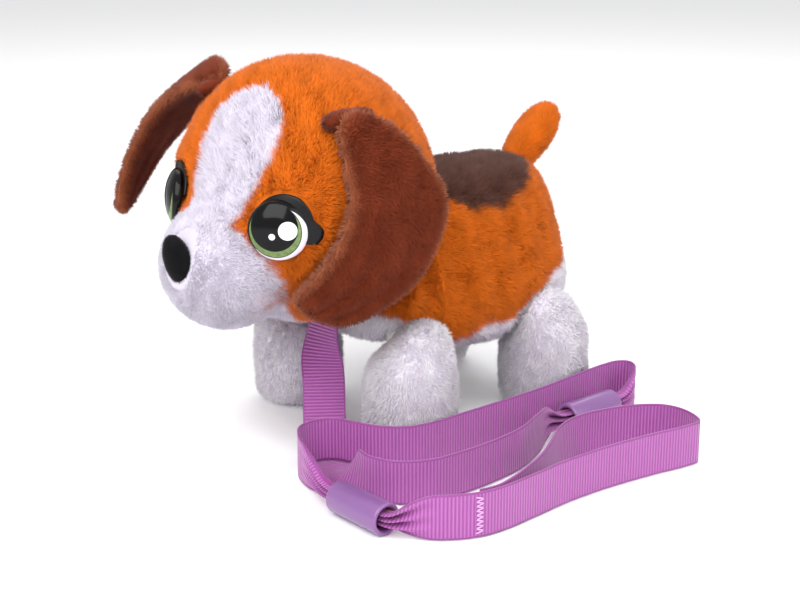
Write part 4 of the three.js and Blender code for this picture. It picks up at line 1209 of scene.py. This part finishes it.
hem_dye, ear_comb = everywhere(CHESTNUT), everywhere([0.0, 0.25, -0.97])
for side_name, side, twist, flare in (("left", 1, 0, 0), ("right", -1, 3, 38)):
    roll = closed_piece(f"ear_root_{side_name}", from_head(root_roll(side)), SKIN)
    dyed_skin_with_painted_shade(roll, "head", "plush_chestnut", hem_dye, 0.8)
    pile(f"ear_root_pile_{side_name}", roll, "head", 5000, 3.0, hem_dye, head_comb)
    grid, edge = ear_grid(side, twist, flare)
    ear = closed_piece(f"ear_skin_{side_name}", from_head(grid), SKIN)
    rim_points = from_head(grid[:, edge > 0.97].reshape(-1, 3))

    def ear_dye_and_edge_sheen(p, rim_points=rim_points):
        """Chestnut on both faces, painted paler within about three millimetres of the edge line as a
        painted sheen.
        """
        near = np.min(np.linalg.norm(p[:, None] - rim_points[None, ::2], axis=2), axis=1)
        # the paler edge is painted sheen
        return CHESTNUT + (EAR_EDGE_SHEEN - CHESTNUT) * np.exp(-(near / 2.6) ** 2)[:, None] * 0.55

    dyed_skin_with_painted_shade(ear, f"ear_{side_name}", "plush_chestnut", ear_dye_and_edge_sheen, 0.5, f"ear_{side_name}")
    pile(f"ear_pile_{side_name}", ear, f"ear_{side_name}", 30000, 3.0, ear_dye_and_edge_sheen,
         ear_comb)

# %% [markdown]
# The tail is a short paddle that leans back over its lever.

# %% Tail
# Up the tail: the middle's y and z, its half width and its half thickness.
TAIL_ROWS = np.array([[64, 113.5, 6, 4.4], [65, 114.5, 7.5, 5.5], [71, 120.5, 10, 7],
                      [78, 127.5, 11, 7], [85, 134.5, 9, 6], [88.5, 138, 5, 3.6], [89.6, 139.1, 1, 1]])


def tail_grid(columns=36):
    """Ellipses square to a line that rises at forty-five degrees."""
    rows = smooth_path(TAIL_ROWS, 5)
    turn = around(columns)
    through = np.sin(turn) * (rows[:, 3:4] - 1.0).clip(0.5) * math.sqrt(0.5)
    return np.stack([np.cos(turn) * (rows[:, 2:3] - 1.0).clip(0.5), rows[:, :1] + through,
                     rows[:, 1:2] - through], axis=-1)


tail = closed_piece("tail_skin", tail_grid(), SKIN)
tail_dye = everywhere(ORANGE)
dyed_skin_with_painted_shade(tail, "tail", "plush_orange", tail_dye, 0.7, "tail_plush")
pile("tail_pile", tail, "tail", 10000, 3.4, tail_dye, everywhere([0.0, 0.7, 0.7]))

# %% [markdown]
# The collar is the same ribbon as the leash, sewn into a ring that leans with the neck.

# %% Collar
COLLAR_LEAN, COLLAR_OUT, COLLAR_RADIUS, COLLAR_WIDE = math.radians(36.9), 43.5, 41.6, 9.2


def collar_ring(columns=160):
    """A thin rectangle with rounded edges, carried round a circle square to the leaning line."""
    edge = around(20)
    across = bent(np.cos(edge), 0.35) * COLLAR_WIDE / 2
    reach = COLLAR_RADIUS - 0.7 + bent(np.sin(edge), 0.5) * 0.6
    turn = around(columns)
    axis = np.array([0, math.cos(COLLAR_LEAN), -math.sin(COLLAR_LEAN)])
    other = np.array([0, math.sin(COLLAR_LEAN), math.cos(COLLAR_LEAN)])
    spoke = np.cos(turn)[:, None] * np.array([1.0, 0, 0]) + np.sin(turn)[:, None] * other
    points = (HEAD_CENTRE + spoke[:, None] * reach[None, :, None]
              + (COLLAR_OUT + COLLAR_WIDE / 2 + across)[None, :, None] * axis)
    flat = np.stack(np.broadcast_arrays((turn * COLLAR_RADIUS)[:, None], across[None] * 2.1), axis=-1)
    return points, flat


ring_grid, ring_flat = collar_ring()
collar = face_outwards(mesh_piece("collar_band", ring_grid.reshape(-1, 3),
                                  grid_faces(*ring_grid.shape[:2], ring=True), RIBBON,
                                  uv=ring_flat.reshape(-1, 2)))
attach(collar, "torso")
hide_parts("collar")

# %% [markdown]
# A catalogue picture has a plain pale floor that runs out of sight, and soft light from large panels:
# a key from the front left, a fill from the right, one from behind, and an even pale sky.

# %% Floor and light
def floor_piece():
    """One wide sheet under everything, its colour near white."""
    half = 3000.0
    floor = mesh_piece("floor", np.array([[-half, -half, -0.05], [half, -half, -0.05],
                                          [half, half, -0.05], [-half, half, -0.05]]),
                       [[0, 1, 2, 3]], None, smooth=False)
    finish = Finish("paper floor", 0.9)
    finish.mottled(flat_colour((0.93, 0.93, 0.94)), 0.01, 3.0)
    floor.data.materials.append(finish.material)


LIGHT_TARGET = np.array([20, 0, 60])


def panel(name, azimuth, elevation, distance, size, watts):
    """A square light aimed at the puppy's middle; azimuth is turned as the camera's is."""
    light = bpy.data.lights.new(name, "AREA")
    light.shape, light.size, light.energy = "SQUARE", size, watts
    stood_back(name, light, LIGHT_TARGET, math.radians(azimuth), math.radians(elevation), distance)


floor_piece()
panel("key", 25, 42, 1100, 0.9, 12)
panel("fill", 105, 32, 1200, 1.0, 6)
panel("rim", -130, 50, 1200, 0.9, 5)
world = bpy.data.worlds.new("sky")
world.use_nodes = True
even = world.node_tree.nodes["Background"].inputs
even["Color"].default_value, even["Strength"].default_value = (1, 1, 1, 1), 0.78
bpy.context.scene.world = world
bpy.context.scene.view_settings.view_transform = "Standard"
